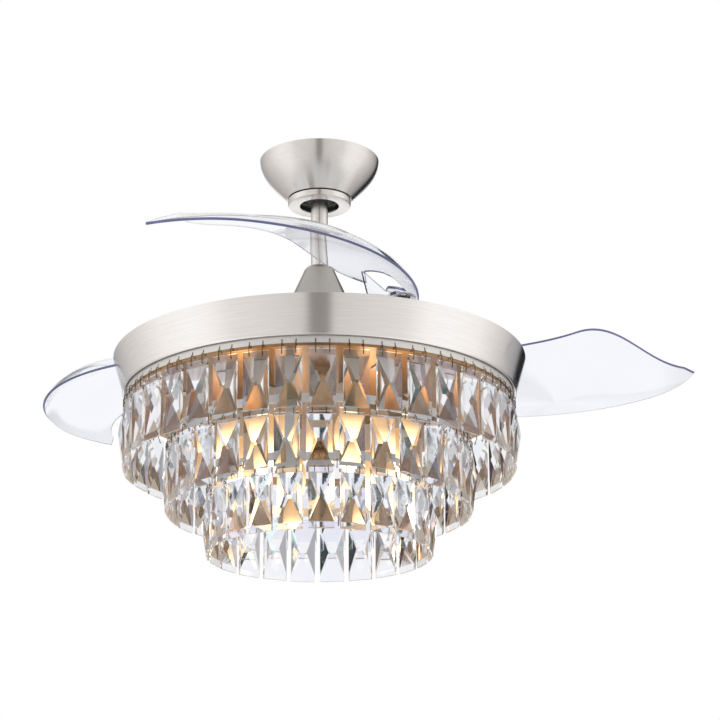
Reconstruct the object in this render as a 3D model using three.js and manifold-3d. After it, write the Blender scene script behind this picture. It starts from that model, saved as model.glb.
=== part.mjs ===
import * as THREE from 'three';
import { mergeVertices } from 'three/addons/utils/BufferGeometryUtils.js';
import Module from 'manifold-3d';

// A ceiling fan with a conical drum, three tiers of hanging cut crystals and three clear folding blades.
// Millimetres, +Z up. The origin is on the fan's axis, on the flat top face of the ceiling bracket.
// Heights given as "over the rim" are measured from the top edge of the drum, below zero when under it.

const wasm = await Module();
wasm.setup();

// ---------------------------------------------------------------- driving dimensions

const clearance = 0.3;
const rimDrop = 271;

const canopyRadius = 75.6;
const canopyBottomRadius = 40.6;
const canopyBottom = -53;
const canopyWall = 1.4;
const canopyCeilingGap = 1;
const canopyHoleRadius = 28;
const canopyScrewX = 34.5;

const trimRingRadius = 39.7;
const trimRingTop = -56.4;
const trimRingBottom = -62;
const trimRingHole = 24.6;
const trimRingWall = 1.5;

const bracketLength = 100;
const bracketWidth = 40;
const bracketPlate = 2.5;
const bracketLegX = 31;
const bracketLegWidth = 16;
const bracketFootReach = 38;
const wireHoleRadius = 7;

const ballRadius = 22;
const ballCentre = -34;
const ballTopCut = 16;
const ballBottomCut = 19;
const tabWidth = 4;
const tabDepth = 2;

const rodRadius = 10.65;
const rodWall = 2.6;
const rodAboveBall = 13;
const rodEndOverRim = 66;

const couplingRadius = 15.5;
const couplingTop = 112;
const couplingBottom = 34;
const crossPinRadius = 3;
const crossPinLength = 29;
const ballPinLength = 36;

const coverTop = 126;
const coverShoulder = 116;
const coverShoulderRadius = 21.2;
const coverBottom = -2.5;
const coverBottomRadius = 73.8;
const coverWall = 1.5;

const shaftRadius = 8.5;
const shaftBore = 5.2;
const shaftTop = 57.7;
const shaftBottom = -70;

const motorRadius = 88;
const motorTop = -9.3;
const motorBottom = -50;
const motorWall = 2.5;
const statorGap = 7;
const statorRadius = motorRadius - statorGap;
const statorTop = -22;
const statorBottom = -42;
const bearingRadius = 17;

const drumTopRadius = 254;
const pivotInset = 24;
const pivotRadius = drumTopRadius - pivotInset;

const carrierRim = 12;
const carrierRadius = pivotRadius + carrierRim;
const carrierTop = -6;
const carrierThickness = 3;
const carrierHoleRadius = 30;
const carrierWindowRadius = 34;
const carrierWindowCircle = 130;
const carrierWindows = 3;

const bladeCount = 3;
const pivotAzimuth = 54.5;
const bladeOpening = 66.2;
const pivotPinRadius = 4;
const pivotHeadRadius = 8;
const pivotHeadHeight = 2.2;

const gearBottom = -5.7;
const gearThickness = 3;
const pinionTeeth = 20;
const pinionTeethBefore = 2;
const pinionTeethAfter = 5;
const pinionPlainRadius = 11;
const pinionPitchRadius = 25;
const ringPitchRadius = pivotRadius - pinionPitchRadius;
const ringTeeth = Math.round(pinionTeeth * ringPitchRadius / pinionPitchRadius);
const toothDepth = 3.6;
const toothBacklash = 0.5;
const ringTeethBefore = 5;
const ringTeethAfter = 2;
const ringWidth = 21;
const ringInnerRadius = ringPitchRadius - ringWidth;
const ringSides = 32;
const gearHubRadius = 9.5;

const bladeThickness = 3;
const bladeEdgeReach = 18.7;
const bladeArcRadius = pivotRadius + bladeEdgeReach;
const bladeSweep = 106.5;
const bladeRootLift = 2.4;
const bladeTipLift = 8;
const bladeTipTuck = 18;
const bladeArch = 15;
const bladePadBottom = 8;
const bladePadTop = 12;
const bladePadRadius = 17;
const bladeRootWidth = 56.7;
const bladeRootHeight = 27;
const bladeSwellWidth = 146.7;
const bladeSwellHeight = 55;
const bladeHollowWidth = 95.9;
const bladeHollowHeight = 63;
const bladeWaistWidth = 148.3;
const bladeWaistHeight = 60;
const bladeNotchWidth = 21.8;
const bladeNotchHeight = 36;
const windowNear = 18;
const windowFar = 41;
const windowReach = 44.5;
const windowRound = 3;
const legLength = 39;
const legTurn = 26;
const legTop = 31.5;
const legShoulder = 25;
const legBottom = 5;
const bladeSteps = 17;
const bladeLanes = 5;

const drumTaper = 13.3;
const drumBottomRadius = drumTopRadius - drumTaper;
const drumHeight = 46;
const drumWall = 1;
const drumSides = 48;
const drumBead = 0.9;
const drumShelfTop = -41.5;

const shelfSheet = 1.2;
const shelfWidth = 7.5;
const panInset = 4.2;
const panRimRadius = drumBottomRadius - panInset;
const drumShelfInner = panRimRadius - shelfWidth;
const panBottom = -57.7;
const panSheet = 1.5;
const panHoleRadius = 8.8;

const nutRadius = 15;
const nutHeight = 8;

const screwRadius = 2;
const screwHeadRadius = 3.6;
const screwHeadHeight = 2.4;
const drumScrewCircle = panRimRadius - shelfWidth / 2;
const drumScrews = 3;

const crystalWidth = 30;
const crystalLength = 77;
const crystalEdge = 3.8;
const crystalDepth = 15;
const crystalBand = 8;

const tierInnerRadii = [184.4, 135.1];
const tierTops = [-62, -115, -168];
const tierCrystals = [39, 31, 23];
const tierPhases = [-89.1, -90, -89];
const outerTierSegments = ['', '_b', '_c'];
const stripAboveCrystal = 7.5;
const stripHeight = 10.2;
const stripSheet = 1.4;
const hookRadius = 0.5;
const hookBehindCrystal = 0.6;

const strapWidth = 12;
const strapFoot = 16;
const strapsPerTier = 4;
const strapPhases = [0, 25, 70];

const lampCount = 6;
const lampCircle = 100;
const lampPhase = -10;
const holderRadius = 11.5;
const holderBottom = -92;
const bulbRadius = 17.5;
const bulbTip = -170;
const bulbNeckRadius = 6.6;
const bulbNeckTop = -72;

const receiverLength = 84;
const receiverWidth = 34;
const receiverHeight = 20;
const receiverInset = 86.5;
const receiverCircle = panRimRadius - receiverInset;

// ---------------------------------------------------------------- materials

const nickel = new THREE.MeshStandardMaterial({ color: '#c9c5c0', metalness: 1, roughness: 0.34 });
const steel = new THREE.MeshStandardMaterial({ color: '#a9abad', metalness: 1, roughness: 0.4 });
const castMetal = new THREE.MeshStandardMaterial({ color: '#8f9194', metalness: 1, roughness: 0.5 });
const paintedSheet = new THREE.MeshStandardMaterial({ color: '#e6e2da', metalness: 0.1, roughness: 0.6 });
const darkPolymer = new THREE.MeshStandardMaterial({ color: '#2b2b2d', metalness: 0, roughness: 0.6 });
const palePolymer = new THREE.MeshStandardMaterial({ color: '#efece4', metalness: 0, roughness: 0.5 });
const copperWinding = new THREE.MeshStandardMaterial({ color: '#8a5a34', metalness: 0.6, roughness: 0.5 });
const clearAcrylic = new THREE.MeshStandardMaterial({
  color: '#eef2fb',
  metalness: 0,
  roughness: 0.06,
  transparent: true,
  opacity: 0.4,
});
const crystalGlass = new THREE.MeshStandardMaterial({
  color: '#dcd8d2',
  metalness: 0,
  roughness: 0.04,
  transparent: true,
  opacity: 0.75,
});
const warmBulb = new THREE.MeshStandardMaterial({
  color: '#fff0cf',
  metalness: 0,
  roughness: 0.3,
  emissive: '#ffb45e',
  emissiveIntensity: 1,
});

// ---------------------------------------------------------------- form helpers

const group = new THREE.Group();
group.name = 'retractable_blade_ceiling_fan';

const radians = THREE.MathUtils.degToRad;
const overRim = (height) => height - rimDrop;

function toSolid(geometry) {
  const bare = geometry.clone();
  bare.deleteAttribute('normal');
  bare.deleteAttribute('uv');
  const welded = mergeVertices(bare, 1e-4);
  const corners = welded.index.array;
  const kept = [];
  for (let i = 0; i < corners.length; i += 3) {
    const [a, b, c] = [corners[i], corners[i + 1], corners[i + 2]];
    if (a !== b && b !== c && c !== a) kept.push(a, b, c);
  }
  return new wasm.Manifold(new wasm.Mesh({
    numProp: 3,
    vertProperties: new Float32Array(welded.attributes.position.array),
    triVerts: new Uint32Array(kept),
  }));
}

function toGeometry(solid) {
  const mesh = solid.getMesh();
  const geometry = new THREE.BufferGeometry();
  geometry.setAttribute('position', new THREE.BufferAttribute(new Float32Array(mesh.vertProperties), 3));
  geometry.setIndex(new THREE.BufferAttribute(new Uint32Array(mesh.triVerts), 1));
  geometry.computeVertexNormals();
  return geometry;
}

function addPart(name, solid, material) {
  const mesh = new THREE.Mesh(toGeometry(solid), material);
  mesh.name = name;
  group.add(mesh);
}

function join(solids) {
  return solids.reduce((whole, piece) => whole.add(piece));
}

function cut(solid, cutters) {
  return cutters.reduce((whole, cutter) => whole.subtract(cutter), solid);
}

function latheGeometry(profile, segments) {
  const points = profile.map(([radius, height]) => new THREE.Vector2(radius, height));
  return new THREE.LatheGeometry(points, segments).rotateX(Math.PI / 2);
}

function latheSolid(profile, segments) {
  return toSolid(latheGeometry(profile, segments));
}

function ringProfile(inner, outer, bottom, top) {
  return [[inner, bottom], [outer, bottom], [outer, top], [inner, top], [inner, bottom]];
}

function ringSolid(inner, outer, bottom, top, segments) {
  return latheSolid(ringProfile(inner, outer, bottom, top), segments);
}

function discSolid(radius, bottom, top, segments, x = 0, y = 0) {
  const geometry = latheGeometry([[0, bottom], [radius, bottom], [radius, top], [0, top]], segments);
  return toSolid(geometry.translate(x, y, 0));
}

function blockGeometry(sizeX, sizeY, bottom, top, x = 0, y = 0) {
  return new THREE.BoxGeometry(sizeX, sizeY, top - bottom).translate(x, y, (top + bottom) / 2);
}

function crossPin(radius, length, height, alongX, segments = 8) {
  const geometry = new THREE.CylinderGeometry(radius, radius, length, segments);
  if (alongX) geometry.rotateZ(Math.PI / 2);
  return toSolid(geometry.translate(0, 0, height));
}

function plateSolid(shape, bottom, thickness, turn = 0, x = 0, y = 0, curveSegments = 6) {
  const settings = { depth: thickness, bevelEnabled: false, curveSegments };
  const geometry = new THREE.ExtrudeGeometry(shape, settings);
  return toSolid(geometry.rotateZ(turn).translate(x, y, bottom));
}

function screwSolid(x, y, seat, length, headUp) {
  const up = headUp ? 1 : -1;
  const seatSide = seat + up * clearance;
  const heights = [seat - up * length, seatSide, seatSide + up * screwHeadHeight];
  const profile = [
    [0, heights[0]],
    [screwRadius, heights[0]],
    [screwRadius, heights[1]],
    [screwHeadRadius, heights[1]],
    [screwHeadRadius, heights[2]],
    [0, heights[2]],
  ];
  const ordered = headUp ? profile : profile.reverse();
  return toSolid(latheGeometry(ordered, 6).translate(x, y, 0));
}

// ---------------------------------------------------------------- ceiling bracket, canopy and its ring

const bracketPieces = [
  toSolid(blockGeometry(bracketLength, bracketWidth, -bracketPlate, 0)),
];
const footTop = canopyBottom + canopyWall + clearance + bracketPlate;
for (const side of [-1, 1]) {
  const legX = side * (bracketLegX + bracketPlate / 2);
  const footX = side * (bracketLegX + bracketFootReach) / 2;
  const footSize = bracketFootReach - bracketLegX;
  const footBottom = footTop - bracketPlate;
  bracketPieces.push(toSolid(blockGeometry(bracketPlate, bracketLegWidth, footBottom, -1, legX)));
  bracketPieces.push(toSolid(blockGeometry(footSize, bracketLegWidth, footBottom, footTop, footX)));
}

const cupRadius = ballRadius + clearance;
const cupSteps = 3;
const cupLow = radians(-46);
const cupHigh = radians(-12);
const cupOuter = cupRadius + 3;
const cupFace = [];
for (let i = 0; i <= cupSteps; i += 1) {
  const latitude = cupHigh + (cupLow - cupHigh) * i / cupSteps;
  cupFace.push([cupRadius * Math.cos(latitude), ballCentre + cupRadius * Math.sin(latitude)]);
}
const cupBottom = cupFace[cupSteps][1];
const cupTop = cupFace[0][1];
const cupProfile = [
  ...cupFace,
  [cupOuter, cupBottom],
  [cupOuter, cupBottom + 3],
  [bracketLegX + 1, cupBottom + 3],
  [bracketLegX + 1, cupBottom + 3 + bracketPlate],
  [cupOuter, cupBottom + 3 + bracketPlate],
  [cupOuter, cupTop],
  cupFace[0],
];
bracketPieces.push(latheSolid(cupProfile, 20));
const tabX = cupRadius - tabDepth / 2 + 0.4;
bracketPieces.push(toSolid(blockGeometry(tabDepth, tabWidth, cupTop - 4, cupTop, tabX)));

let bracket = join(bracketPieces);
bracket = cut(bracket, [
  toSolid(blockGeometry(2 * rodRadius + 4, 40, cupBottom - 4, cupTop + 4, 0, 20 + rodRadius / 2)),
  discSolid(wireHoleRadius, -9, 5, 20, -20, 0),
  discSolid(screwRadius + clearance, footTop - 9, footTop + 5, 12, canopyScrewX, 0),
  discSolid(screwRadius + clearance, footTop - 9, footTop + 5, 12, -canopyScrewX, 0),
]);
for (const side of [-1, 1]) {
  bracket = bracket.subtract(toSolid(blockGeometry(14, 5.5, -9, 5, side * 41, 0)));
}
addPart('hanger_bracket', bracket, steel);

const canopyCurve = new THREE.CubicBezierCurve(
  new THREE.Vector2(canopyRadius, -canopyCeilingGap),
  new THREE.Vector2(canopyRadius - 1, canopyBottom * 0.38),
  new THREE.Vector2(canopyRadius * 0.794, canopyBottom * 0.64),
  new THREE.Vector2(canopyBottomRadius, canopyBottom),
);
const canopySteps = 6;
const canopyOutside = [];
const canopyInside = [];
for (let i = 0; i <= canopySteps; i += 1) {
  const point = canopyCurve.getPoint(i / canopySteps);
  const along = canopyCurve.getTangent(i / canopySteps);
  canopyOutside.push([point.x, point.y]);
  canopyInside.push([point.x + along.y * canopyWall, point.y - along.x * canopyWall]);
}
const canopyFloorRadius = canopyInside[canopySteps - 1][0];
const canopyProfile = [
  [canopyHoleRadius, canopyBottom],
  ...canopyOutside.reverse(),
  ...canopyInside.slice(0, canopySteps),
  [canopyFloorRadius - 2, canopyBottom + canopyWall],
  [canopyHoleRadius, canopyBottom + canopyWall],
  [canopyHoleRadius, canopyBottom],
];
canopyProfile[canopySteps + 2][1] = -canopyCeilingGap;
addPart('canopy', cut(latheSolid(canopyProfile, 28), [
  discSolid(screwRadius + clearance, canopyBottom - 5, canopyBottom + 5, 12, canopyScrewX, 0),
  discSolid(screwRadius + clearance, canopyBottom - 5, canopyBottom + 5, 12, -canopyScrewX, 0),
]), nickel);

const trimSeat = canopyBottom - clearance;
addPart('canopy_ring', latheSolid([
  [trimRingHole, trimRingBottom],
  [trimRingRadius - 0.8, trimRingBottom],
  [trimRingRadius, trimRingBottom + 0.8],
  [trimRingRadius, trimRingTop],
  [trimRingRadius - trimRingWall, trimRingTop],
  [trimRingRadius - trimRingWall, trimRingBottom + trimRingWall],
  [canopyHoleRadius + 1.8, trimRingBottom + trimRingWall],
  [canopyHoleRadius + 1.8, trimSeat],
  [canopyHoleRadius + 0.2, trimSeat],
  [canopyHoleRadius - 1, trimRingBottom + trimRingWall],
  [trimRingHole, trimRingBottom + trimRingWall],
  [trimRingHole, trimRingBottom],
], 24), nickel);

addPart('canopy_screw_1', screwSolid(canopyScrewX, 0, canopyBottom, 6, false), steel);
addPart('canopy_screw_2', screwSolid(-canopyScrewX, 0, canopyBottom, 6, false), steel);

// ---------------------------------------------------------------- hanging ball, downrod and coupling

const ballSteps = 5;
const ballLow = Math.asin(-ballBottomCut / ballRadius);
const ballHigh = Math.asin(ballTopCut / ballRadius);
const ballBore = rodRadius + clearance;
const ballFace = [];
for (let i = 0; i <= ballSteps; i += 1) {
  const latitude = ballLow + (ballHigh - ballLow) * i / ballSteps;
  ballFace.push([ballRadius * Math.cos(latitude), ballCentre + ballRadius * Math.sin(latitude)]);
}
const ballProfile = [
  [ballBore, ballCentre - ballBottomCut],
  ...ballFace,
  [ballBore, ballCentre + ballTopCut],
  [ballBore, ballCentre - ballBottomCut],
];
const groove = new THREE.LatheGeometry([
  new THREE.Vector2(ballRadius - tabDepth - 0.8, -tabWidth / 2 - 0.4),
  new THREE.Vector2(ballRadius + 4, -tabWidth / 2 - 0.4),
  new THREE.Vector2(ballRadius + 4, tabWidth / 2 + 0.4),
  new THREE.Vector2(ballRadius - tabDepth - 0.8, tabWidth / 2 + 0.4),
  new THREE.Vector2(ballRadius - tabDepth - 0.8, -tabWidth / 2 - 0.4),
], 20);
const grooveSolid = toSolid(groove.translate(0, 0, ballCentre))
  .intersect(toSolid(blockGeometry(20, 12, ballCentre - 30, ballCentre + 30, 21.5)));
addPart('hanger_ball', cut(latheSolid(ballProfile, 20), [
  crossPin(crossPinRadius + clearance, 60, ballCentre, false),
  grooveSolid,
]), darkPolymer);
addPart('hanger_pin', crossPin(crossPinRadius, ballPinLength, ballCentre, false), steel);

const rodTop = ballCentre + rodAboveBall;
const rodBottom = overRim(rodEndOverRim);
const upperPinHeight = overRim((couplingTop + rodEndOverRim) / 2 + 2);
const lowerPinHeight = overRim((couplingBottom + shaftTop) / 2);
addPart('downrod', cut(ringSolid(rodRadius - rodWall, rodRadius, rodBottom, rodTop, 18), [
  crossPin(crossPinRadius + clearance, 40, ballCentre, false),
  crossPin(crossPinRadius + clearance, 40, upperPinHeight, true),
]), nickel);

const shaftEnd = overRim(shaftTop) + clearance;
addPart('coupling', cut(latheSolid([
  [shaftRadius + clearance, overRim(couplingBottom)],
  [couplingRadius, overRim(couplingBottom)],
  [couplingRadius, overRim(couplingTop)],
  [rodRadius + clearance, overRim(couplingTop)],
  [rodRadius + clearance, rodBottom - clearance],
  [shaftBore, rodBottom - clearance],
  [shaftBore, shaftEnd],
  [shaftRadius + clearance, shaftEnd],
  [shaftRadius + clearance, overRim(couplingBottom)],
], 16), [
  crossPin(crossPinRadius + clearance, 40, upperPinHeight, true),
  crossPin(crossPinRadius + clearance, 40, lowerPinHeight, true),
]), castMetal);
addPart('coupling_pin_upper', crossPin(crossPinRadius, crossPinLength, upperPinHeight, true), steel);
addPart('coupling_pin_lower', crossPin(crossPinRadius, crossPinLength, lowerPinHeight, true), steel);

const coverSlope = (coverBottomRadius - coverShoulderRadius) / (coverShoulder - coverBottom);
const coverSeat = couplingTop + clearance;
const coverSeatRadius = coverShoulderRadius + coverSlope * (coverShoulder - coverSeat) - coverWall;
const coverShoulderCurve = new THREE.QuadraticBezierCurve(
  new THREE.Vector2(coverShoulderRadius, overRim(coverShoulder)),
  new THREE.Vector2(coverShoulderRadius - 3.4, overRim(coverTop)),
  new THREE.Vector2(rodRadius + 2.4, overRim(coverTop)),
);
addPart('coupling_cover', latheSolid([
  [coverBottomRadius - coverWall, overRim(coverBottom)],
  [coverBottomRadius + 0.6, overRim(coverBottom)],
  [coverBottomRadius + 0.6, overRim(coverBottom + 1.5)],
  [coverBottomRadius - coverSlope * 2, overRim(coverBottom + 2)],
  ...coverShoulderCurve.getPoints(3).map((point) => [point.x, point.y]),
  [rodRadius + 0.5, overRim(coverTop)],
  [rodRadius + 0.5, overRim(coverSeat)],
  [coverSeatRadius, overRim(coverSeat)],
  [coverBottomRadius - coverWall, overRim(coverBottom)],
], 24), nickel);

// ---------------------------------------------------------------- motor

addPart('motor_shaft', ringSolid(shaftBore, shaftRadius, overRim(shaftBottom), overRim(shaftTop), 16)
  .subtract(crossPin(crossPinRadius + clearance, 40, lowerPinHeight, true)), steel);
addPart('stator', latheSolid([
  [shaftRadius + clearance, overRim(statorBottom)],
  [statorRadius - 10, overRim(statorBottom)],
  [statorRadius, overRim(statorBottom + 5)],
  [statorRadius, overRim(statorTop - 5)],
  [statorRadius - 10, overRim(statorTop)],
  [shaftRadius + clearance, overRim(statorTop)],
  [shaftRadius + clearance, overRim(statorBottom)],
], 20), copperWinding);

const motorLid = 3;
const bearingInner = shaftRadius + clearance;
const upperBearingTop = overRim(motorTop - motorLid) - clearance;
const upperBearingBottom = overRim(statorTop) + clearance;
const lowerBearingTop = overRim(statorBottom) - clearance;
const lowerBearingBottom = overRim(motorBottom) - 1;
const upperBearing = ringSolid(bearingInner, bearingRadius, upperBearingBottom, upperBearingTop, 16);
addPart('bearing_upper', upperBearing, steel);
const lowerBearing = ringSolid(bearingInner, bearingRadius, lowerBearingBottom, lowerBearingTop, 16);
addPart('bearing_lower', lowerBearing, steel);

const hubInner = bearingRadius + clearance;
const housingBottom = motorBottom + 2.5 + clearance;
addPart('rotor_housing', latheSolid([
  [shaftRadius + 1.5, overRim(motorTop - motorLid)],
  [hubInner, overRim(motorTop - motorLid)],
  [hubInner, overRim(statorTop + 1)],
  [hubInner + 3, overRim(statorTop + 1)],
  [hubInner + 3, overRim(motorTop - motorLid)],
  [motorRadius - motorWall, overRim(motorTop - motorLid)],
  [motorRadius - motorWall, overRim(housingBottom)],
  [motorRadius, overRim(housingBottom)],
  [motorRadius, overRim(motorTop - 3)],
  [motorRadius - 3, overRim(motorTop)],
  [shaftRadius + 1.5, overRim(motorTop)],
  [shaftRadius + 1.5, overRim(motorTop - motorLid)],
], 24), castMetal);
addPart('rotor_cover', latheSolid([
  [hubInner, overRim(motorBottom)],
  [motorRadius, overRim(motorBottom)],
  [motorRadius, overRim(motorBottom + 2.5)],
  [hubInner + 3, overRim(motorBottom + 2.5)],
  [hubInner + 3, overRim(statorBottom - 1)],
  [hubInner, overRim(statorBottom - 1)],
  [hubInner, overRim(motorBottom)],
], 24), castMetal);

// ---------------------------------------------------------------- blade carrier and folding gear

const pivots = [];
for (let i = 0; i < bladeCount; i += 1) {
  const azimuth = radians(pivotAzimuth + i * 360 / bladeCount);
  pivots.push({ azimuth, x: pivotRadius * Math.cos(azimuth), y: pivotRadius * Math.sin(azimuth) });
}

const carrierBottom = carrierTop - carrierThickness;
const registerOuter = ringInnerRadius * Math.cos(Math.PI / ringSides) - clearance;
let carrier = latheSolid([
  [carrierHoleRadius, overRim(carrierBottom)],
  [carrierRadius, overRim(carrierBottom)],
  [carrierRadius, overRim(carrierTop)],
  [registerOuter, overRim(carrierTop)],
  [registerOuter, overRim(carrierTop + 3)],
  [registerOuter - 3, overRim(carrierTop + 3)],
  [registerOuter - 3, overRim(carrierTop)],
  [carrierHoleRadius, overRim(carrierTop)],
  [carrierHoleRadius, overRim(carrierBottom)],
], ringSides);
for (let i = 0; i < carrierWindows; i += 1) {
  const azimuth = radians(pivotAzimuth + (i + 0.5) * 360 / carrierWindows);
  const x = carrierWindowCircle * Math.cos(azimuth);
  const y = carrierWindowCircle * Math.sin(azimuth);
  const bottom = overRim(carrierBottom - 3);
  carrier = carrier.subtract(discSolid(carrierWindowRadius, bottom, overRim(carrierTop + 5), 10, x, y));
}
for (const { x, y } of pivots) {
  const bottom = overRim(carrierBottom - 3);
  const bore = discSolid(pivotPinRadius + clearance, bottom, overRim(carrierTop + 5), 10, x, y);
  carrier = carrier.subtract(bore);
}
addPart('blade_carrier', carrier, steel);

// Outline of one trapezoid tooth, standing on a root circle, as points in polar form.
function toothPoints(pitchRadius, middle, pitchAngle) {
  const root = pitchRadius - toothDepth / 2 - toothBacklash;
  const tip = pitchRadius + toothDepth / 2 - toothBacklash;
  const slack = toothBacklash / 2 / pitchRadius;
  const wide = pitchAngle * 0.36 - slack;
  const narrow = pitchAngle * 0.14 - slack;
  return [[root, middle - wide], [tip, middle - narrow], [tip, middle + narrow], [root, middle + wide]];
}

function polarShape(points) {
  return new THREE.Shape(points.map(([radius, angle]) => (
    new THREE.Vector2(radius * Math.cos(angle), radius * Math.sin(angle))
  )));
}

const ringPitchAngle = 2 * Math.PI / ringTeeth;
const ringOutline = [];
const plainSteps = 8;
const groupStart = (ringTeethBefore + 0.5) * ringPitchAngle;
const groupEnd = (ringTeethAfter + 0.5) * ringPitchAngle;
const ringRoot = ringPitchRadius - toothDepth / 2 - toothBacklash;
for (const { azimuth } of pivots) {
  for (let j = -ringTeethBefore; j <= ringTeethAfter; j += 1) {
    const middle = azimuth + j * ringPitchAngle;
    ringOutline.push(...toothPoints(ringPitchRadius, middle, ringPitchAngle));
  }
  const gap = 2 * Math.PI / bladeCount - groupStart - groupEnd;
  for (let j = 1; j < plainSteps; j += 1) {
    ringOutline.push([ringRoot, azimuth + groupEnd + gap * j / plainSteps]);
  }
}
const syncShape = polarShape(ringOutline);
const syncHole = new THREE.Path();
syncHole.absarc(0, 0, ringInnerRadius, 0, 2 * Math.PI, true);
syncShape.holes.push(syncHole);
const syncPlate = plateSolid(syncShape, overRim(gearBottom), gearThickness, 0, 0, 0, ringSides / 2);
addPart('sync_ring', syncPlate, steel);

const pinionPitchAngle = 2 * Math.PI / pinionTeeth;
const gearTop = gearBottom + gearThickness;
const hubTop = bladePadBottom - clearance;
pivots.forEach(({ azimuth, x, y }, i) => {
  const outline = [];
  for (let j = -pinionTeethBefore; j < pinionTeeth - pinionTeethBefore; j += 1) {
    const middle = azimuth + Math.PI + (j + 0.5) * pinionPitchAngle;
    const toothed = j < pinionTeethAfter;
    if (toothed) outline.push(...toothPoints(pinionPitchRadius, middle, pinionPitchAngle));
    else outline.push([pinionPlainRadius, middle]);
  }
  const pinion = plateSolid(polarShape(outline), overRim(gearBottom), gearThickness, 0, x, y);
  const hub = discSolid(gearHubRadius, overRim(gearBottom), overRim(hubTop), 12, x, y);
  const bore = discSolid(pivotPinRadius + clearance, overRim(gearBottom - 5), overRim(hubTop + 5), 10, x, y);
  addPart(`blade_gear_${i + 1}`, pinion.add(hub).subtract(bore), darkPolymer);

  const pin = latheGeometry([
    [0, overRim(carrierBottom)],
    [pivotPinRadius, overRim(carrierBottom)],
    [pivotPinRadius, overRim(bladePadTop + clearance)],
    [pivotHeadRadius, overRim(bladePadTop + clearance)],
    [pivotHeadRadius, overRim(bladePadTop + clearance + pivotHeadHeight - 0.6)],
    [pivotHeadRadius - 0.8, overRim(bladePadTop + clearance + pivotHeadHeight)],
    [0, overRim(bladePadTop + clearance + pivotHeadHeight)],
  ], 10);
  addPart(`pivot_pin_${i + 1}`, toSolid(pin.translate(x, y, 0)), steel);
});

// ---------------------------------------------------------------- blades

// A blade is drawn folded, with its pivot on the X axis and its outer edge on an arc round the fan's axis,
// then opened about the pivot. Points are given as radius, degrees back from the pivot, height over the rim.
function foldedPoint(radius, back, height) {
  return new THREE.Vector3(radius * Math.cos(radians(-back)), radius * Math.sin(radians(-back)), height);
}

const innerEdgeRoot = foldedPoint(bladeArcRadius - bladeRootWidth, 0, bladeRootHeight);
const innerEdgeSwell = foldedPoint(bladeArcRadius - bladeSwellWidth, 2, bladeSwellHeight);
const innerEdgeHollow = foldedPoint(bladeArcRadius - bladeHollowWidth, 33.3, bladeHollowHeight);
const innerEdgeWaist = foldedPoint(bladeArcRadius - bladeWaistWidth, 79.9, bladeWaistHeight);
const innerEdgeTurn = innerEdgeWaist.clone().multiplyScalar(1.73).addScaledVector(innerEdgeHollow, -0.73);
const innerEdgeNotch = foldedPoint(bladeArcRadius - bladeNotchWidth, 80.8, bladeNotchHeight);
const bladeTip = foldedPoint(bladeArcRadius - bladeTipTuck, bladeSweep, bladeTipLift);
const nearPoints = [innerEdgeRoot, innerEdgeSwell, innerEdgeHollow, innerEdgeWaist];
const innerNear = new THREE.CubicBezierCurve3(...nearPoints);
const innerFar = new THREE.CubicBezierCurve3(innerEdgeWaist, innerEdgeTurn, innerEdgeNotch, bladeTip);
const innerSplit = 0.6;

function innerEdge(along) {
  if (along < innerSplit) return innerNear.getPoint(along / innerSplit);
  return innerFar.getPoint((along - innerSplit) / (1 - innerSplit));
}

function outerEdge(along) {
  const nearTip = THREE.MathUtils.smoothstep(along, 0.72, 1.28) * 2;
  const lift = bladeRootLift + (bladeTipLift - bladeRootLift) * along;
  return foldedPoint(bladeArcRadius - bladeTipTuck * nearTip, bladeSweep * along, lift);
}

function bladeMiddle(along, across) {
  const point = outerEdge(along).lerp(innerEdge(along), across);
  const towardsTip = THREE.MathUtils.smoothstep(along, 0.45, 0.95);
  const fade = THREE.MathUtils.smoothstep(along, 0, 0.25) * (1 - towardsTip);
  point.z += bladeArch * fade * Math.sin(Math.PI * across ** 0.62);
  return point;
}

function bladeSheet() {
  const last = 0.965;
  const columns = bladeLanes + 1;
  const middle = [];
  for (let i = 0; i <= bladeSteps; i += 1) {
    for (let j = 0; j <= bladeLanes; j += 1) {
      middle.push(bladeMiddle(last * (i / bladeSteps) ** 0.92, (j / bladeLanes) ** 1.2));
    }
  }
  const surface = new THREE.BufferGeometry().setFromPoints(middle);
  const faces = [];
  for (let i = 0; i < bladeSteps; i += 1) {
    for (let j = 0; j < bladeLanes; j += 1) {
      const a = i * columns + j;
      faces.push(a, a + columns, a + 1, a + 1, a + columns, a + columns + 1);
    }
  }
  surface.setIndex(faces);
  surface.computeVertexNormals();
  const normals = surface.attributes.normal;
  const upward = normals.getZ(columns * 8 + 3) > 0 ? 1 : -1;
  const points = [];
  for (const side of [1, -1]) {
    middle.forEach((point, k) => {
      const normal = new THREE.Vector3().fromBufferAttribute(normals, k);
      points.push(point.clone().addScaledVector(normal, side * upward * bladeThickness / 2));
    });
  }
  const count = middle.length;
  const skin = [];
  for (let k = 0; k < faces.length; k += 3) {
    const [a, b, c] = [faces[k], faces[k + 1], faces[k + 2]];
    if (upward > 0) skin.push(a, b, c, a + count, c + count, b + count);
    else skin.push(a, c, b, a + count, b + count, c + count);
  }
  const rim = [];
  for (let j = 0; j < bladeLanes; j += 1) rim.push(j);
  for (let i = 0; i < bladeSteps; i += 1) rim.push(i * columns + bladeLanes);
  for (let j = bladeLanes; j > 0; j -= 1) rim.push(bladeSteps * columns + j);
  for (let i = bladeSteps; i > 0; i -= 1) rim.push(i * columns);
  rim.forEach((a, k) => {
    const b = rim[(k + 1) % rim.length];
    if (upward > 0) skin.push(a, b, a + count, b, b + count, a + count);
    else skin.push(a, a + count, b, b, a + count, b + count);
  });
  const sheet = new THREE.BufferGeometry().setFromPoints(points);
  sheet.setIndex(skin);
  return sheet.translate(0, 0, -rimDrop);
}

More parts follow.
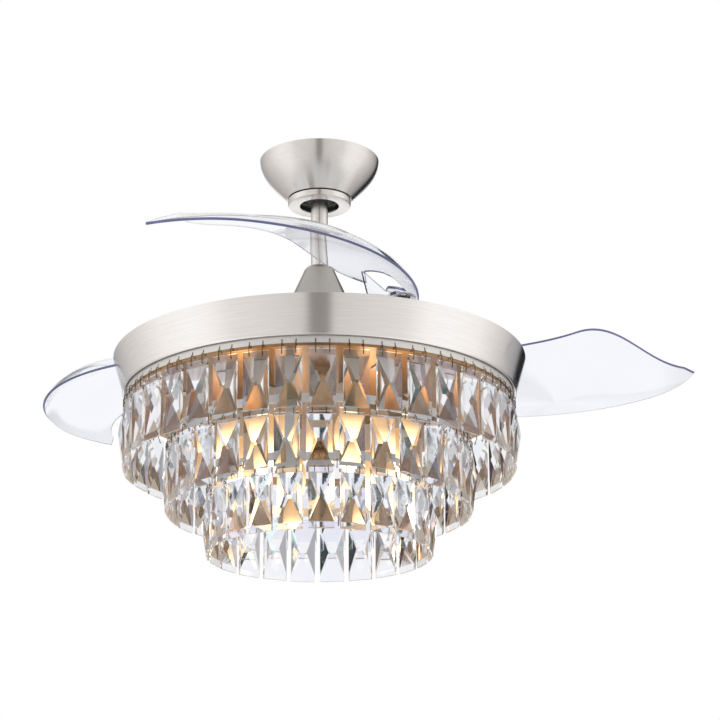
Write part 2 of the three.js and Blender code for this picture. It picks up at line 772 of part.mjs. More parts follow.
function roundedShape(points, radius) {
  const corners = points.map(([x, y]) => new THREE.Vector2(x, y));
  const shape = new THREE.Shape();
  corners.forEach((corner, i) => {
    const before = corners[(i + corners.length - 1) % corners.length];
    const after = corners[(i + 1) % corners.length];
    const start = corner.clone().add(before.clone().sub(corner).setLength(radius));
    const end = corner.clone().add(after.clone().sub(corner).setLength(radius));
    if (i === 0) shape.moveTo(start.x, start.y);
    else shape.lineTo(start.x, start.y);
    shape.quadraticCurveTo(corner.x, corner.y, end.x, end.y);
  });
  shape.closePath();
  return shape;
}

// Plan of the open root: it clears the pad, leaves the outer arm whole and opens the sheet's lower border.
const rootWindow = roundedShape([
  [-windowReach, -windowFar * 0.68],
  [-windowReach * 0.81, -windowFar * 0.85],
  [-windowReach * 0.54, -windowFar],
  [-windowReach * 0.27, -windowFar],
  [-windowReach * 0.09, -windowFar * 0.83],
  [windowNear * 0.25, -windowNear * 1.3],
  [-windowNear * 0.33, -windowNear * 1.08],
  [-windowNear * 0.94, -windowNear * 0.67],
  [-windowNear * 1.1, 6],
  [-windowReach * 0.92, 6],
].map(([x, y]) => [pivotRadius + x, y]), windowRound);
const openSheet = cut(toSolid(bladeSheet()), [plateSolid(rootWindow, overRim(-20), 120, 0, 0, 0, 2)]);

// The inner leg is an upright web under the sheet's inner corner that runs down to the pad.
const legShape = new THREE.Shape([
  [-3, legBottom],
  [legLength, bladePadBottom + clearance],
  [legLength, bladePadTop - clearance],
  [legLength * 0.74, bladePadTop - clearance],
  [legLength * 0.21, legShoulder],
  [0, legTop],
  [-3, legTop + 1],
].map(([x, y]) => new THREE.Vector2(x, y)));
const leg = new THREE.ExtrudeGeometry(legShape, { depth: bladeThickness, bevelEnabled: false })
  .translate(0, 0, -bladeThickness / 2)
  .rotateX(Math.PI / 2)
  .rotateZ(radians(legTurn))
  .translate(pivotRadius - windowReach - 0.5, -windowFar * 0.63, overRim(0));
const padSpan = [overRim(bladePadBottom), overRim(bladePadTop)];
const padSolid = discSolid(bladePadRadius, ...padSpan, 14, pivotRadius, 0);
const padCutters = [
  discSolid(pivotPinRadius + clearance, overRim(-5), overRim(60), 10, pivotRadius, 0),
  discSolid(gearHubRadius + 1, overRim(-20), overRim(bladePadBottom), 12, pivotRadius, 0),
  discSolid(pivotHeadRadius + 1, overRim(bladePadTop), overRim(80), 12, pivotRadius, 0),
];
const foldedBlade = cut(openSheet.add(toSolid(leg)).add(padSolid), padCutters);
pivots.forEach(({ x, y }, i) => {
  const turn = pivotAzimuth + i * 360 / bladeCount + bladeOpening;
  const blade = foldedBlade.translate([-pivotRadius, 0, 0]).rotate([0, 0, turn]).translate([x, y, 0]);
  addPart(`blade_${i + 1}`, blade, clearAcrylic);
});

// ---------------------------------------------------------------- drum, light pan and their fixings

const drumSlope = (drumTopRadius - drumBottomRadius) / drumHeight;
const drumInnerAt = (height) => drumTopRadius + drumSlope * height - drumWall;
const drumShelfBottom = drumShelfTop - shelfSheet;
addPart('drum_band', latheSolid([
  [drumBottomRadius - drumWall, overRim(-drumHeight)],
  [drumBottomRadius + drumBead, overRim(-drumHeight)],
  [drumBottomRadius + drumBead, overRim(-drumHeight + 1.6)],
  [drumBottomRadius + drumSlope * 2.2, overRim(-drumHeight + 2.2)],
  [drumTopRadius, overRim(0)],
  [drumTopRadius - drumWall, overRim(0)],
  [drumBottomRadius - drumWall, overRim(-drumHeight)],
], drumSides), nickel);

const shelfOuter = drumInnerAt(drumShelfBottom) * Math.cos(Math.PI / drumSides) - clearance;
const shelfBottom = overRim(drumShelfBottom);
let shelf = ringSolid(drumShelfInner, shelfOuter, shelfBottom, overRim(drumShelfTop), drumSides);
const ringShelfTop = drumShelfBottom - clearance;
const ringShelfBottom = ringShelfTop - shelfSheet;
const panShelfTop = ringShelfBottom - clearance;
const panShelfBottom = panShelfTop - panSheet;
let pan = latheSolid([
  [panHoleRadius, overRim(panBottom)],
  [panRimRadius, overRim(panBottom)],
  [panRimRadius, overRim(panShelfTop)],
  [drumShelfInner, overRim(panShelfTop)],
  [drumShelfInner, overRim(panShelfBottom)],
  [panRimRadius - panSheet, overRim(panShelfBottom)],
  [panRimRadius - panSheet, overRim(panBottom + panSheet)],
  [panHoleRadius, overRim(panBottom + panSheet)],
  [panHoleRadius, overRim(panBottom)],
], 40);

const stripInner = panRimRadius + clearance;
const tierRadii = [stripInner + stripSheet / 2 + hookBehindCrystal, ...tierInnerRadii];
const stripOneShape = [
  [0, tierTops[0] + stripAboveCrystal],
  [stripSheet, tierTops[0] + stripAboveCrystal],
  [stripSheet, ringShelfTop],
  [drumShelfInner - stripInner, ringShelfTop],
  [drumShelfInner - stripInner, ringShelfBottom],
  [0, ringShelfBottom],
  [0, tierTops[0] + stripAboveCrystal],
];

const drumScrewBottom = overRim(panShelfBottom - 5);
const screwHoles = [];
for (let i = 0; i < drumScrews; i += 1) {
  const azimuth = radians(-60 + i * 360 / drumScrews);
  const x = drumScrewCircle * Math.cos(azimuth);
  const y = drumScrewCircle * Math.sin(azimuth);
  const hole = discSolid(screwRadius + clearance, drumScrewBottom, overRim(drumShelfTop + 3), 12, x, y);
  shelf = shelf.subtract(hole);
  pan = pan.subtract(hole);
  screwHoles.push(hole);
  addPart(`drum_screw_${i + 1}`, screwSolid(x, y, overRim(drumShelfTop), 8, true), steel);
}
addPart('drum_shelf', shelf, steel);
addPart('light_pan', pan, paintedSheet);
const nutTop = overRim(panBottom) - clearance;
addPart('pan_nut', discSolid(nutRadius, nutTop - nutHeight, nutTop, 6)
  .subtract(discSolid(shaftRadius + clearance, nutTop - nutHeight - 5, nutTop + 5, 20)), steel);

const receiverBottom = overRim(panBottom + panSheet) + clearance;
const receiverShape = roundedShape([
  [-receiverLength / 2, -receiverWidth / 2],
  [receiverLength / 2, -receiverWidth / 2],
  [receiverLength / 2, receiverWidth / 2],
  [-receiverLength / 2, receiverWidth / 2],
], 4);
const receiver = plateSolid(receiverShape, receiverBottom, receiverHeight, 0, 0, receiverCircle);
addPart('receiver_box', receiver, darkPolymer);

// ---------------------------------------------------------------- crystal tiers

// One cut crystal, standing in the XZ plane with its top edge at zero and its outer face towards +Y. Four
// flat facets meet at a raised middle on each face, and the outer face has a bevelled band at both ends.
function crystalGeometry() {
  const half = crystalWidth / 2;
  const thin = crystalEdge / 2;
  const heights = [0, -crystalBand, -crystalLength + crystalBand, -crystalLength];
  const points = [];
  heights.forEach((z, row) => {
    const y = row === 0 || row === 3 ? thin * 0.7 : thin;
    points.push(new THREE.Vector3(-half, y, z), new THREE.Vector3(half, y, z));
  });
  for (const z of [0, -crystalLength]) {
    points.push(new THREE.Vector3(-half, -thin, z), new THREE.Vector3(half, -thin, z));
  }
  points.push(new THREE.Vector3(0, crystalDepth / 2, -crystalLength / 2));
  points.push(new THREE.Vector3(0, -crystalDepth / 2, -crystalLength / 2));
  const [outerApex, innerApex] = [12, 13];
  const loops = [
    [1, 0, 2, 3],
    [5, 4, 6, 7],
    [0, 1, 9, 8],
    [7, 6, 10, 11],
    [5, 7, 11, 9, 1, 3],
    [4, 2, 0, 8, 10, 6],
  ];
  const faces = [];
  for (const loop of loops) {
    for (let k = 1; k < loop.length - 1; k += 1) faces.push(loop[0], loop[k], loop[k + 1]);
  }
  const outerLoop = [3, 2, 4, 5];
  const innerLoop = [8, 9, 11, 10];
  for (let k = 0; k < 4; k += 1) {
    faces.push(outerLoop[k], outerLoop[(k + 1) % 4], outerApex);
    faces.push(innerLoop[k], innerLoop[(k + 1) % 4], innerApex);
  }
  const geometry = new THREE.BufferGeometry().setFromPoints(points);
  geometry.setIndex(faces.reverse());
  return geometry;
}

function mergeLoose(geometries) {
  const positions = [];
  const faces = [];
  for (const geometry of geometries) {
    const offset = positions.length / 3;
    positions.push(...geometry.attributes.position.array);
    for (const corner of geometry.index.array) faces.push(corner + offset);
  }
  const whole = new THREE.BufferGeometry();
  whole.setAttribute('position', new THREE.BufferAttribute(new Float32Array(positions), 3));
  whole.setIndex(faces);
  return whole;
}

// A sheet ring with one flat side behind each crystal. Its profile is given outward from its inner face.
function facetedRing(profile, inner, tier) {
  const count = tierCrystals[tier];
  const corner = 1 / Math.cos(Math.PI / count);
  const points = profile.map(([out, height]) => [(inner + out) * corner, overRim(height)]);
  const turn = radians(tierPhases[tier] + 180 / count) + Math.PI / 2;
  return toSolid(latheGeometry(points, count).rotateZ(turn));
}

// The wedge that one segment of a tier fills. It ends midway between two crystals, half a clearance short.
function segmentSolid(tier, index) {
  const count = tierCrystals[tier];
  const share = Math.round(count / outerTierSegments.length);
  const first = index * share;
  const last = index === outerTierSegments.length - 1 ? count : first + share;
  const reach = 2 * drumTopRadius;
  const ends = [first, last].map((place) => radians(tierPhases[tier] + (place - 0.5) * 360 / count));
  const middle = (ends[0] + ends[1]) / 2;
  const corners = [ends[0], middle, ends[1]].map((angle) => (
    new THREE.Vector2(reach * Math.cos(angle), reach * Math.sin(angle))
  ));
  const apex = clearance / 2 / Math.sin((ends[1] - ends[0]) / 2);
  const start = new THREE.Vector2(apex * Math.cos(middle), apex * Math.sin(middle));
  const shape = new THREE.Shape([start, ...corners.map((corner) => corner.add(start))]);
  return plateSolid(shape, overRim(tierTops[tier] - 2 * crystalLength), 4 * crystalLength);
}

// The ring, its hooks and its crystals are one piece in each tier: the ring carries all the crystals. The
// outer ring is long and comes in three segments.
const crystal = crystalGeometry();
tierRadii.forEach((radius, tier) => {
  const count = tierCrystals[tier];
  const top = tierTops[tier];
  const strip = radius - hookBehindCrystal;
  const stripBottom = top + stripAboveCrystal;
  const crystals = [];
  const hooks = [];
  const hookLength = stripAboveCrystal + 3;
  for (let i = 0; i < count; i += 1) {
    const azimuth = radians(tierPhases[tier] + i * 360 / count);
    const x = radius * Math.cos(azimuth);
    const y = radius * Math.sin(azimuth);
    crystals.push(crystal.clone().rotateZ(azimuth - Math.PI / 2).translate(x, y, overRim(top)));
    const hook = new THREE.CylinderGeometry(hookRadius, hookRadius, hookLength, 3).rotateX(Math.PI / 2);
    hook.translate(strip, 0, overRim(top - 1.5) + hookLength / 2);
    hooks.push(hook.rotateZ(azimuth));
  }
  let ring;
  if (tier === 0) {
    ring = cut(facetedRing(stripOneShape, stripInner, tier), screwHoles);
  } else {
    const inner = strip - stripSheet / 2;
    const straps = [];
    const footTopHeight = overRim(panBottom) - clearance;
    const footBottom = footTopHeight - stripSheet;
    for (let i = 0; i < strapsPerTier; i += 1) {
      const nearest = Math.round((strapPhases[tier] + i * 360 / strapsPerTier) * count / 360);
      const turn = radians(tierPhases[tier] + nearest * 360 / count);
      const strapX = inner - stripSheet / 2 + 0.4;
      const strapBottom = overRim(stripBottom + 1);
      const footX = strapX - strapFoot / 2;
      const upright = blockGeometry(stripSheet, strapWidth, strapBottom, footTopHeight, strapX, 0);
      const foot = blockGeometry(strapFoot, strapWidth, footBottom, footTopHeight, footX, 0);
      straps.push(toSolid(upright.rotateZ(turn)), toSolid(foot.rotateZ(turn)));
    }
    const stripShape = ringProfile(0, stripSheet, stripBottom, stripBottom + stripHeight);
    ring = join([facetedRing(stripShape, inner, tier), ...straps]);
  }
  const hanging = toSolid(mergeLoose(crystals)).add(toSolid(mergeLoose(hooks)));
  const whole = ring.add(hanging);
  if (tier === 0) {
    outerTierSegments.forEach((suffix, i) => {
      addPart(`crystal_tier_1${suffix}`, whole.intersect(segmentSolid(tier, i)), crystalGlass);
    });
  } else {
    addPart(`crystal_tier_${tier + 1}`, whole, crystalGlass);
  }
});

// ---------------------------------------------------------------- lamps

const holderTop = overRim(panBottom) - clearance;
const bulbProfileCurve = new THREE.CubicBezierCurve(
  new THREE.Vector2(bulbNeckRadius + 2.6, overRim(holderBottom) - clearance),
  new THREE.Vector2(bulbRadius * 1.35, overRim(holderBottom - 22)),
  new THREE.Vector2(bulbRadius * 0.95, overRim(bulbTip + 22)),
  new THREE.Vector2(1.2, overRim(bulbTip)),
);
for (let i = 0; i < lampCount; i += 1) {
  const azimuth = radians(lampPhase + i * 360 / lampCount);
  const x = lampCircle * Math.cos(azimuth);
  const y = lampCircle * Math.sin(azimuth);
  const holder = latheGeometry([
    [0, holderTop - 6],
    [bulbNeckRadius + clearance, holderTop - 6],
    [bulbNeckRadius + clearance, overRim(holderBottom)],
    [holderRadius - 1, overRim(holderBottom)],
    [holderRadius, holderTop],
    [0, holderTop],
  ], 9);
  addPart(`lamp_holder_${i + 1}`, toSolid(holder.translate(x, y, 0)), palePolymer);

  const curve = bulbProfileCurve.getPoints(5).map((point) => [point.x, point.y]).reverse();
  const bulb = latheGeometry([
    [0, overRim(bulbTip)],
    ...curve,
    [bulbNeckRadius, overRim(holderBottom) - clearance],
    [bulbNeckRadius, overRim(bulbNeckTop)],
    [0, overRim(bulbNeckTop)],
  ], 9);
  addPart(`bulb_${i + 1}`, toSolid(bulb.translate(x, y, 0)), warmBulb);
}

export default group;
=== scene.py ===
import math

import bmesh
import bpy
from mathutils import Matrix, Vector


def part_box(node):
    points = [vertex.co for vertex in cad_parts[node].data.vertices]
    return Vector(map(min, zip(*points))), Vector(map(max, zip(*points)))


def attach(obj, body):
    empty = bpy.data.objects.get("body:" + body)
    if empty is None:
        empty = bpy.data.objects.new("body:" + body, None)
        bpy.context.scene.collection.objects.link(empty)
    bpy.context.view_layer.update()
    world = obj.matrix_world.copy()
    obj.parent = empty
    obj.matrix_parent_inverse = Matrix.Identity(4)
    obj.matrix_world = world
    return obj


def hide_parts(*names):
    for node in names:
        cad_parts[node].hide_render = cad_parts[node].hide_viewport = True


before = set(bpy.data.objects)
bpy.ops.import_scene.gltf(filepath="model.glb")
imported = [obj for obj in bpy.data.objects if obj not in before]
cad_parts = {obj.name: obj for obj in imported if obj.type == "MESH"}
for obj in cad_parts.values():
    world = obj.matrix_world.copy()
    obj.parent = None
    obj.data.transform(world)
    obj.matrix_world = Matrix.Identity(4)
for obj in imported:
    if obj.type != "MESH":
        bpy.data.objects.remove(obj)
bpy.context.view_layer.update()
mm = 0.001
rim = -271.0  # height of the drum's top edge, heights "over the rim" count from it


# camera and studio

cameraSetting = {
    "place": (0.0, -2.7, -1.176),
    "pitch": 18.61,  # degrees upwards
    "lens": 115.15,
    "shiftX": 0.0564,
    "clipEnd": 100,
}


# sRGB hex to linear RGBA
def linear(hexColour):
    parts = [int(hexColour[i:i + 2], 16) / 255 for i in (1, 3, 5)]
    return tuple(c / 12.92 if c <= 0.04045 else ((c + 0.055) / 1.055) ** 2.4 for c in parts) + (1.0,)


# Adds a node. A kind without Node in its name is a shader node's. settings are attributes or socket values.
# A link is socket name (_ for a space) = output socket, or = a node, which stands for its first output.
def addNode(tree, kind, settings=None, **links):
    node = tree.nodes.new(kind if "Node" in kind else "ShaderNode" + kind)
    for key, value in (settings or {}).items():
        if isinstance(key, int) or key in node.inputs:
            node.inputs[key].default_value = value
        else:
            setattr(node, key, value)
    for key, source in links.items():
        place = int(key[1:]) if key[1:].isdigit() else key.replace("_", " ")
        source = source.outputs[0] if isinstance(source, bpy.types.Node) else source
        tree.links.new(source, node.inputs[place])
    return node


# Cosine and sine of evenly spaced directions round a circle.
def directions(count):
    return [(math.cos(2 * math.pi * k / count), math.sin(2 * math.pi * k / count)) for k in range(count)]


def polar(radius, degrees):
    angle = math.radians(degrees)
    return radius * math.cos(angle), radius * math.sin(angle)


def linkObject(name, data):
    thing = bpy.data.objects.new(name, data)
    bpy.context.scene.collection.objects.link(thing)
    return thing


def newMaterial(name):
    material = bpy.data.materials.new(name)
    material.use_nodes = True
    material.node_tree.nodes.clear()
    return material, material.node_tree


def makeCamera():
    s = cameraSetting
    data = bpy.data.cameras.new("photoCamera")
    data.lens = s["lens"]
    data.shift_x = s["shiftX"]
    data.clip_end = s["clipEnd"]
    camera = linkObject("photoCamera", data)
    camera.location = s["place"]
    camera.rotation_euler = (math.radians(90 + s["pitch"]), 0, 0)
    bpy.context.scene.camera = camera


makeCamera()
bpy.context.scene.view_settings.view_transform = "Standard"
print("camera placed")

studioSetting = {
    "roomLight": 0.62,  # strength of the white room on dull surfaces
    "floorHalf": 30.0,
    "floorHeight": -1.95,
    "floorLift": 0.42,  # keeps the painted floor pale, shadows stay on it
    "curtainRadius": 4.6,
    "curtainBottom": -1.9,
    "curtainTop": 3.4,
    "curtainSteps": 96,
    "lampAim": (0, 0, -0.3),
    "lampSize": 1.6,
    "lamps": [("softboxLeft", (-2.2, -2.4, 0.6), 26), ("softboxRight", (2.4, -2.0, 0.2), 20)],  # place, watts
    "curtain": [  # degrees round from the camera's side (right is positive), tone
        (-180, "#ffffff"), (-164, "#ffffff"), (-158, "#a0a0a4"), (-146, "#b4b2b2"), (-128, "#cfccca"),
        (-110, "#e4e1df"), (-94, "#f8f6f4"), (-74, "#ffffff"), (-60, "#fbf9f8"), (-46, "#e6e4e2"),
        (-24, "#dedbd9"), (-8, "#d2cfcc"), (-4.2, "#8e8b89"), (4.2, "#8e8b89"), (8, "#d2cfcc"),
        (24, "#dcd9d7"), (46, "#e6e4e2"), (60, "#fdfcfb"), (74, "#ffffff"), (94, "#faf8f6"),
        (110, "#dedbd9"), (128, "#b8b6b4"), (141, "#989797"), (144, "#4a4b4e"), (148, "#1c1d20"),
        (159, "#1c1d20"), (162, "#6a6b70"), (165, "#ffffff"), (180, "#ffffff"),
    ],
}


def makeWorld():
    world = bpy.data.worlds.new("whiteRoom")
    bpy.context.scene.world = world
    world.use_nodes = True
    tree = world.node_tree
    tree.nodes.clear()
    path = addNode(tree, "LightPath").outputs
    shown = addNode(tree, "Math", {"operation": "MAXIMUM"},
                      _0=path["Is Camera Ray"], _1=path["Is Glossy Ray"])
    seen = addNode(tree, "Math", {"operation": "MAXIMUM"}, _0=shown, _1=path["Is Transmission Ray"])
    white = linear("#ffffff")
    light = addNode(tree, "Background", {"Color": white, "Strength": studioSetting["roomLight"]})
    plain = addNode(tree, "Background", {"Color": white, "Strength": 1.0})
    mixed = addNode(tree, "MixShader", _0=seen, _1=light, _2=plain)
    addNode(tree, "OutputWorld", Surface=mixed)


# Grey tones that change with the direction round the fan, as the studio's walls and floor show in metal.
def gradedTone(tree):
    spot = addNode(tree, "TexCoord").outputs["Object"]
    place = addNode(tree, "SeparateXYZ", Vector=spot).outputs
    back = addNode(tree, "Math", {"operation": "MULTIPLY", 1: -1.0}, _0=place["Y"])
    turn = addNode(tree, "Math", {"operation": "ARCTAN2"}, _0=place["X"], _1=back)
    share = addNode(tree, "MapRange", {"From Min": -math.pi, "From Max": math.pi}, Value=turn)
    ramp = addNode(tree, "ValToRGB", Fac=share)
    stops = ramp.color_ramp.elements
    tones = studioSetting["curtain"]
    stops[0].color, stops[1].color = linear(tones[0][1]), linear(tones[-1][1])
    for degrees, tone in tones[1:-1]:
        stops.new((degrees + 180) / 360).color = linear(tone)
    return ramp


# 1 for what is seen straight through a perfectly smooth clear sheet, which shows the white room and no
# graded tones. The cut crystals are a trace rougher than the blades, so they keep the tones.
def straightThrough(tree, path):
    near = addNode(tree, "Math", {"operation": "LESS_THAN", 1: 4.5}, _0=path["Ray Depth"])
    sheet = addNode(tree, "Math", {"operation": "MULTIPLY"}, _0=near, _1=path["Is Transmission Ray"])
    return addNode(tree, "Math", {"operation": "MULTIPLY"}, _0=sheet, _1=path["Is Singular Ray"])


# A pale painted floor, clear from below, that shows the graded tones in metal.
def makeFloor():
    mesh = bpy.data.meshes.new("floor")
    size, height = studioSetting["floorHalf"], studioSetting["floorHeight"]
    corners = [(-size, -size, height), (size, -size, height), (size, size, height), (-size, size, height)]
    mesh.from_pydata(corners, [], [(0, 1, 2, 3)])
    floor = linkObject("floor", mesh)
    material, tree = newMaterial("palePaintedFloor")
    path = addNode(tree, "LightPath").outputs
    white = linear("#ffffff")
    lift = addNode(tree, "Math", {"operation": "MULTIPLY", 1: studioSetting["floorLift"]},
                   _0=path["Is Camera Ray"])
    paint = addNode(tree, "BsdfDiffuse", {"Color": linear("#f4f4f4")})
    pale = addNode(tree, "Emission", {"Color": white}, Strength=lift)
    dull = addNode(tree, "AddShader", _0=paint, _1=pale)
    plain = addNode(tree, "Emission", {"Color": white, "Strength": 1.0})
    graded = addNode(tree, "Emission", {"Strength": 1.0}, Color=gradedTone(tree))
    inMetal = addNode(tree, "MixShader", _0=path["Is Glossy Ray"], _1=dull, _2=graded)
    inSheet = addNode(tree, "MixShader", _0=straightThrough(tree, path), _1=inMetal, _2=plain)
    under = addNode(tree, "NewGeometry").outputs["Backfacing"]
    clear = addNode(tree, "BsdfTransparent")
    both = addNode(tree, "MixShader", _0=under, _1=inSheet, _2=clear)
    addNode(tree, "OutputMaterial", Surface=both)
    mesh.materials.append(material)


# A round studio curtain, seen only in metal and glass: bright at both sides, grey behind the camera.
def makeCurtain():
    s = studioSetting
    steps, radius = s["curtainSteps"], s["curtainRadius"]
    verts = [(radius * y, -radius * x, height) for x, y in directions(steps)
             for height in (s["curtainBottom"], s["curtainTop"])]
    count = 2 * steps
    faces = [(i, (i + 2) % count, (i + 3) % count, i + 1) for i in range(0, count, 2)]
    mesh = bpy.data.meshes.new("curtain")
    mesh.from_pydata(verts, [], faces)
    curtain = linkObject("curtain", mesh)
    curtain.visible_camera = curtain.visible_diffuse = curtain.visible_shadow = False
    material, tree = newMaterial("greyGradedCloth")
    ramp = gradedTone(tree)
    path = addNode(tree, "LightPath").outputs
    tone = addNode(tree, "Mix", {"data_type": "RGBA", 7: linear("#ffffff")},
                   _0=straightThrough(tree, path), _6=ramp)
    glow = addNode(tree, "Emission", {"Strength": 1.0}, Color=tone.outputs[2])
    addNode(tree, "OutputMaterial", Surface=glow)
    mesh.materials.append(material)


def makeSoftboxes():
    s = studioSetting
    for name, place, power in s["lamps"]:
        data = bpy.data.lights.new(name, "AREA")
        data.shape = "SQUARE"
        data.size = s["lampSize"]
        data.energy = power
        lamp = linkObject(name, data)
        lamp.location = place
        lamp.rotation_euler = (Vector(s["lampAim"]) - Vector(place)).to_track_quat("-Z", "Y").to_euler()
        lamp.visible_glossy = lamp.visible_transmission = False


makeWorld()
makeFloor()
makeCurtain()
makeSoftboxes()
print("studio built")


# materials

# Ends a material with its principled shader and output.
def shaded(material, settings, **links):
    tree = material.node_tree
    shader = addNode(tree, "BsdfPrincipled", settings, **links)
    addNode(tree, "OutputMaterial", Surface=shader)
    return material


# What a colour mix takes from a finish: its two tones.
def twoTones(setting):
    return {"data_type": "RGBA", 6: linear(setting["tones"][0]), 7: linear(setting["tones"][1])}


# What a range takes to run from one value of a pair to the other.
def between(pair):
    return {"To Min": pair[0], "To Max": pair[1]}


# Tone, gloss and relief that all follow one fine noise over the piece.
def grained(tree, setting, scale, detail, relief, depth):
    place = addNode(tree, "TexCoord").outputs["Object"]
    grain = addNode(tree, "TexNoise", {"Scale": scale, "Detail": detail}, Vector=place).outputs["Fac"]
    colour = addNode(tree, "Mix", twoTones(setting), _0=grain)
    rough = addNode(tree, "MapRange", between(setting["rough"]), Value=grain)
    bump = addNode(tree, "Bump", {"Strength": relief, "Distance": depth}, Height=grain)
    return {"Base_Color": colour.outputs[2], "Roughness": rough, "Normal": bump}


# Object coordinates turned into lines that run round the Z axis: around and upward are repeats per metre.
def ringVector(tree, around, upward):
    place = addNode(tree, "TexCoord").outputs["Object"]
    flat = addNode(tree, "VectorMath", {"operation": "MULTIPLY", 1: (1, 1, 0)}, _0=place)
    unit = addNode(tree, "VectorMath", {"operation": "NORMALIZE"}, _0=flat)
    wide = addNode(tree, "VectorMath", {"operation": "SCALE", "Scale": around}, _0=unit)
    tall = addNode(tree, "VectorMath", {"operation": "MULTIPLY", 1: (0, 0, upward)}, _0=place)
    return addNode(tree, "VectorMath", {"operation": "ADD"}, _0=wide, _1=tall)


# Nickel plate brushed round its axis: satin, with fine lines that smear reflections up and down.
def brushedNickel(name, setting):
    material, tree = newMaterial(name)
    lines = ringVector(tree, setting["around"], setting["upward"])
    streak = addNode(tree, "TexNoise", {"Scale": 1.0, "Detail": 6.0, "Roughness": 0.6},
                     Vector=lines).outputs["Fac"]
    place = addNode(tree, "TexCoord").outputs["Object"]
    cloud = addNode(tree, "TexNoise", {"Scale": 14.0, "Detail": 2.0}, Vector=place)
    share = addNode(tree, "MapRange", {"From Min": 0.25, "From Max": 0.75}, Value=streak)
    colour = addNode(tree, "Mix", twoTones(setting), _0=share)
    rough = addNode(tree, "MapRange", {"From Min": 0.3, "From Max": 0.7, **between(setting["rough"])},
                    Value=cloud.outputs["Fac"])
    bump = addNode(tree, "Bump", {"Strength": setting["bump"], "Distance": 0.00005}, Height=streak)
    tangent = addNode(tree, "Tangent", {"direction_type": "RADIAL", "axis": "Z"})
    values = {"Metallic": 1.0, "Anisotropic": setting["anisotropic"], "Anisotropic Rotation": 0.25}
    return shaded(material, values, Base_Color=colour.outputs[2], Roughness=rough, Normal=bump,
                  Tangent=tangent)


# Turned, pressed or moulded pieces with a fine uneven grain in tone and gloss.
def plainFinish(name, setting):
    material, tree = newMaterial(name)
    links = grained(tree, setting, setting["grain"], 4.0, 0.15, 0.0001)
    return shaded(material, {"Metallic": setting.get("metallic", 1.0)}, **links)


# Clear polished glass or acrylic, with a faint waviness left by the mould or wheel.
def clearGlass(name, setting):
    material, tree = newMaterial(name)
    links = grained(tree, setting, setting["wave"], 2.0, setting["bump"], 0.0002)
    values = {"Transmission Weight": setting.get("clear", 1.0), "IOR": setting["ior"],
              "Thin Film Thickness": setting["film"], "Thin Film IOR": 1.38}
    if "deepGlow" in setting:  # stands for light that goes on past the last counted reflection
        path = addNode(tree, "LightPath").outputs
        inside = addNode(tree, "Math", {"operation": "GREATER_THAN", 1: 3.5}, _0=path["Glossy Depth"])
        late = addNode(tree, "Math", {"operation": "GREATER_THAN", 1: 10.5}, _0=path["Ray Depth"])
        either = addNode(tree, "Math", {"operation": "MAXIMUM"}, _0=inside, _1=late)
        share = addNode(tree, "Math", {"operation": "MULTIPLY", 1: setting["deepGlow"]}, _0=either)
        links["Emission_Strength"] = share
        values["Emission Color"] = linear("#d8c8b4")
        material.cycles.emission_sampling = "NONE"
    return shaded(material, values, **links)


# Lit lamp glass: golden near its holder and brightest towards the tip, with a slightly uneven glow.
def litGlass(name, setting):
    material, tree = newMaterial(name)
    place = addNode(tree, "TexCoord").outputs["Object"]
    height = addNode(tree, "SeparateXYZ", Vector=place).outputs["Z"]
    ends = {"From Min": (rim + setting["from"]) * mm, "From Max": (rim + setting["to"]) * mm}
    down = addNode(tree, "MapRange", ends, Value=height)
    grain = addNode(tree, "TexNoise", {"Scale": setting["grain"], "Detail": 2.0}, Vector=place)
    uneven = addNode(tree, "MapRange", between((0.85, 1.15)), Value=grain.outputs["Fac"])
    level = addNode(tree, "MapRange", between(setting["glow"]), Value=down)
    glow = addNode(tree, "Math", {"operation": "MULTIPLY"}, _0=level, _1=uneven)
    colour = addNode(tree, "Mix", twoTones(setting), _0=down)
    return shaded(material, {"Base Color": linear("#fff3dc")},
                  Emission_Color=colour.outputs[2], Emission_Strength=glow)


nickelRing = brushedNickel("brushedNickelBand", {  # brushed round the drum: horizontal lines
    "around": 6.0, "upward": 900.0, "tones": ("#f3efec", "#fefbf9"),
    "rough": (0.14, 0.2), "bump": 0.2, "anisotropic": 0.5})
nickelSatin = brushedNickel("satinNickelBowl", {  # finer and softer on the canopy, rod and trim ring
    "around": 8.0, "upward": 1300.0, "tones": ("#e8e4e0", "#f5f1ed"),
    "rough": (0.22, 0.28), "bump": 0.12, "anisotropic": 0.85})
nickelPaintedShade = brushedNickel("satinNickelCover", {  # the same satin nickel in darker tones on the cover over the motor: painted shade, so it reads darker than the rod
    "around": 8.0, "upward": 1300.0, "tones": ("#a29e9a", "#b4b0ac"),
    "rough": (0.28, 0.36), "bump": 0.12, "anisotropic": 0.6})
satinPan = plainFinish("satinChampagnePan", {  # rolled champagne-coloured plate, spreads the lamps' gold
    "grain": 60.0, "tones": ("#8c6d4f", "#b89169"), "rough": (0.14, 0.26)})
zincSteel = plainFinish("zincPlatedSteel", {  # cold grey, slightly mottled
    "grain": 300.0, "tones": ("#9b9da0", "#b6b8ba"), "rough": (0.3, 0.45)})
castAluminium = plainFinish("beadBlastedAluminium", {  # dull grey with a fine grain
    "grain": 900.0, "tones": ("#85878a", "#9a9c9f"), "rough": (0.45, 0.6)})
bronzeWire = plainFinish("bronzePlatedWire", {  # dark brown wire that reads almost black against white
    "grain": 500.0, "tones": ("#4a3a24", "#7b6440"), "rough": (0.25, 0.4)})
paleZinc = plainFinish("paleChromatedStrip", {  # light-grey strip that carries the hooks
    "grain": 200.0, "tones": ("#d9d6d2", "#ebe8e4"), "rough": (0.3, 0.42), "metallic": 0.6})
copperWinding = plainFinish("varnishedCopperWinding", {  # brown under its varnish
    "grain": 700.0, "tones": ("#6e4428", "#9a6238"), "rough": (0.3, 0.5), "metallic": 0.8})
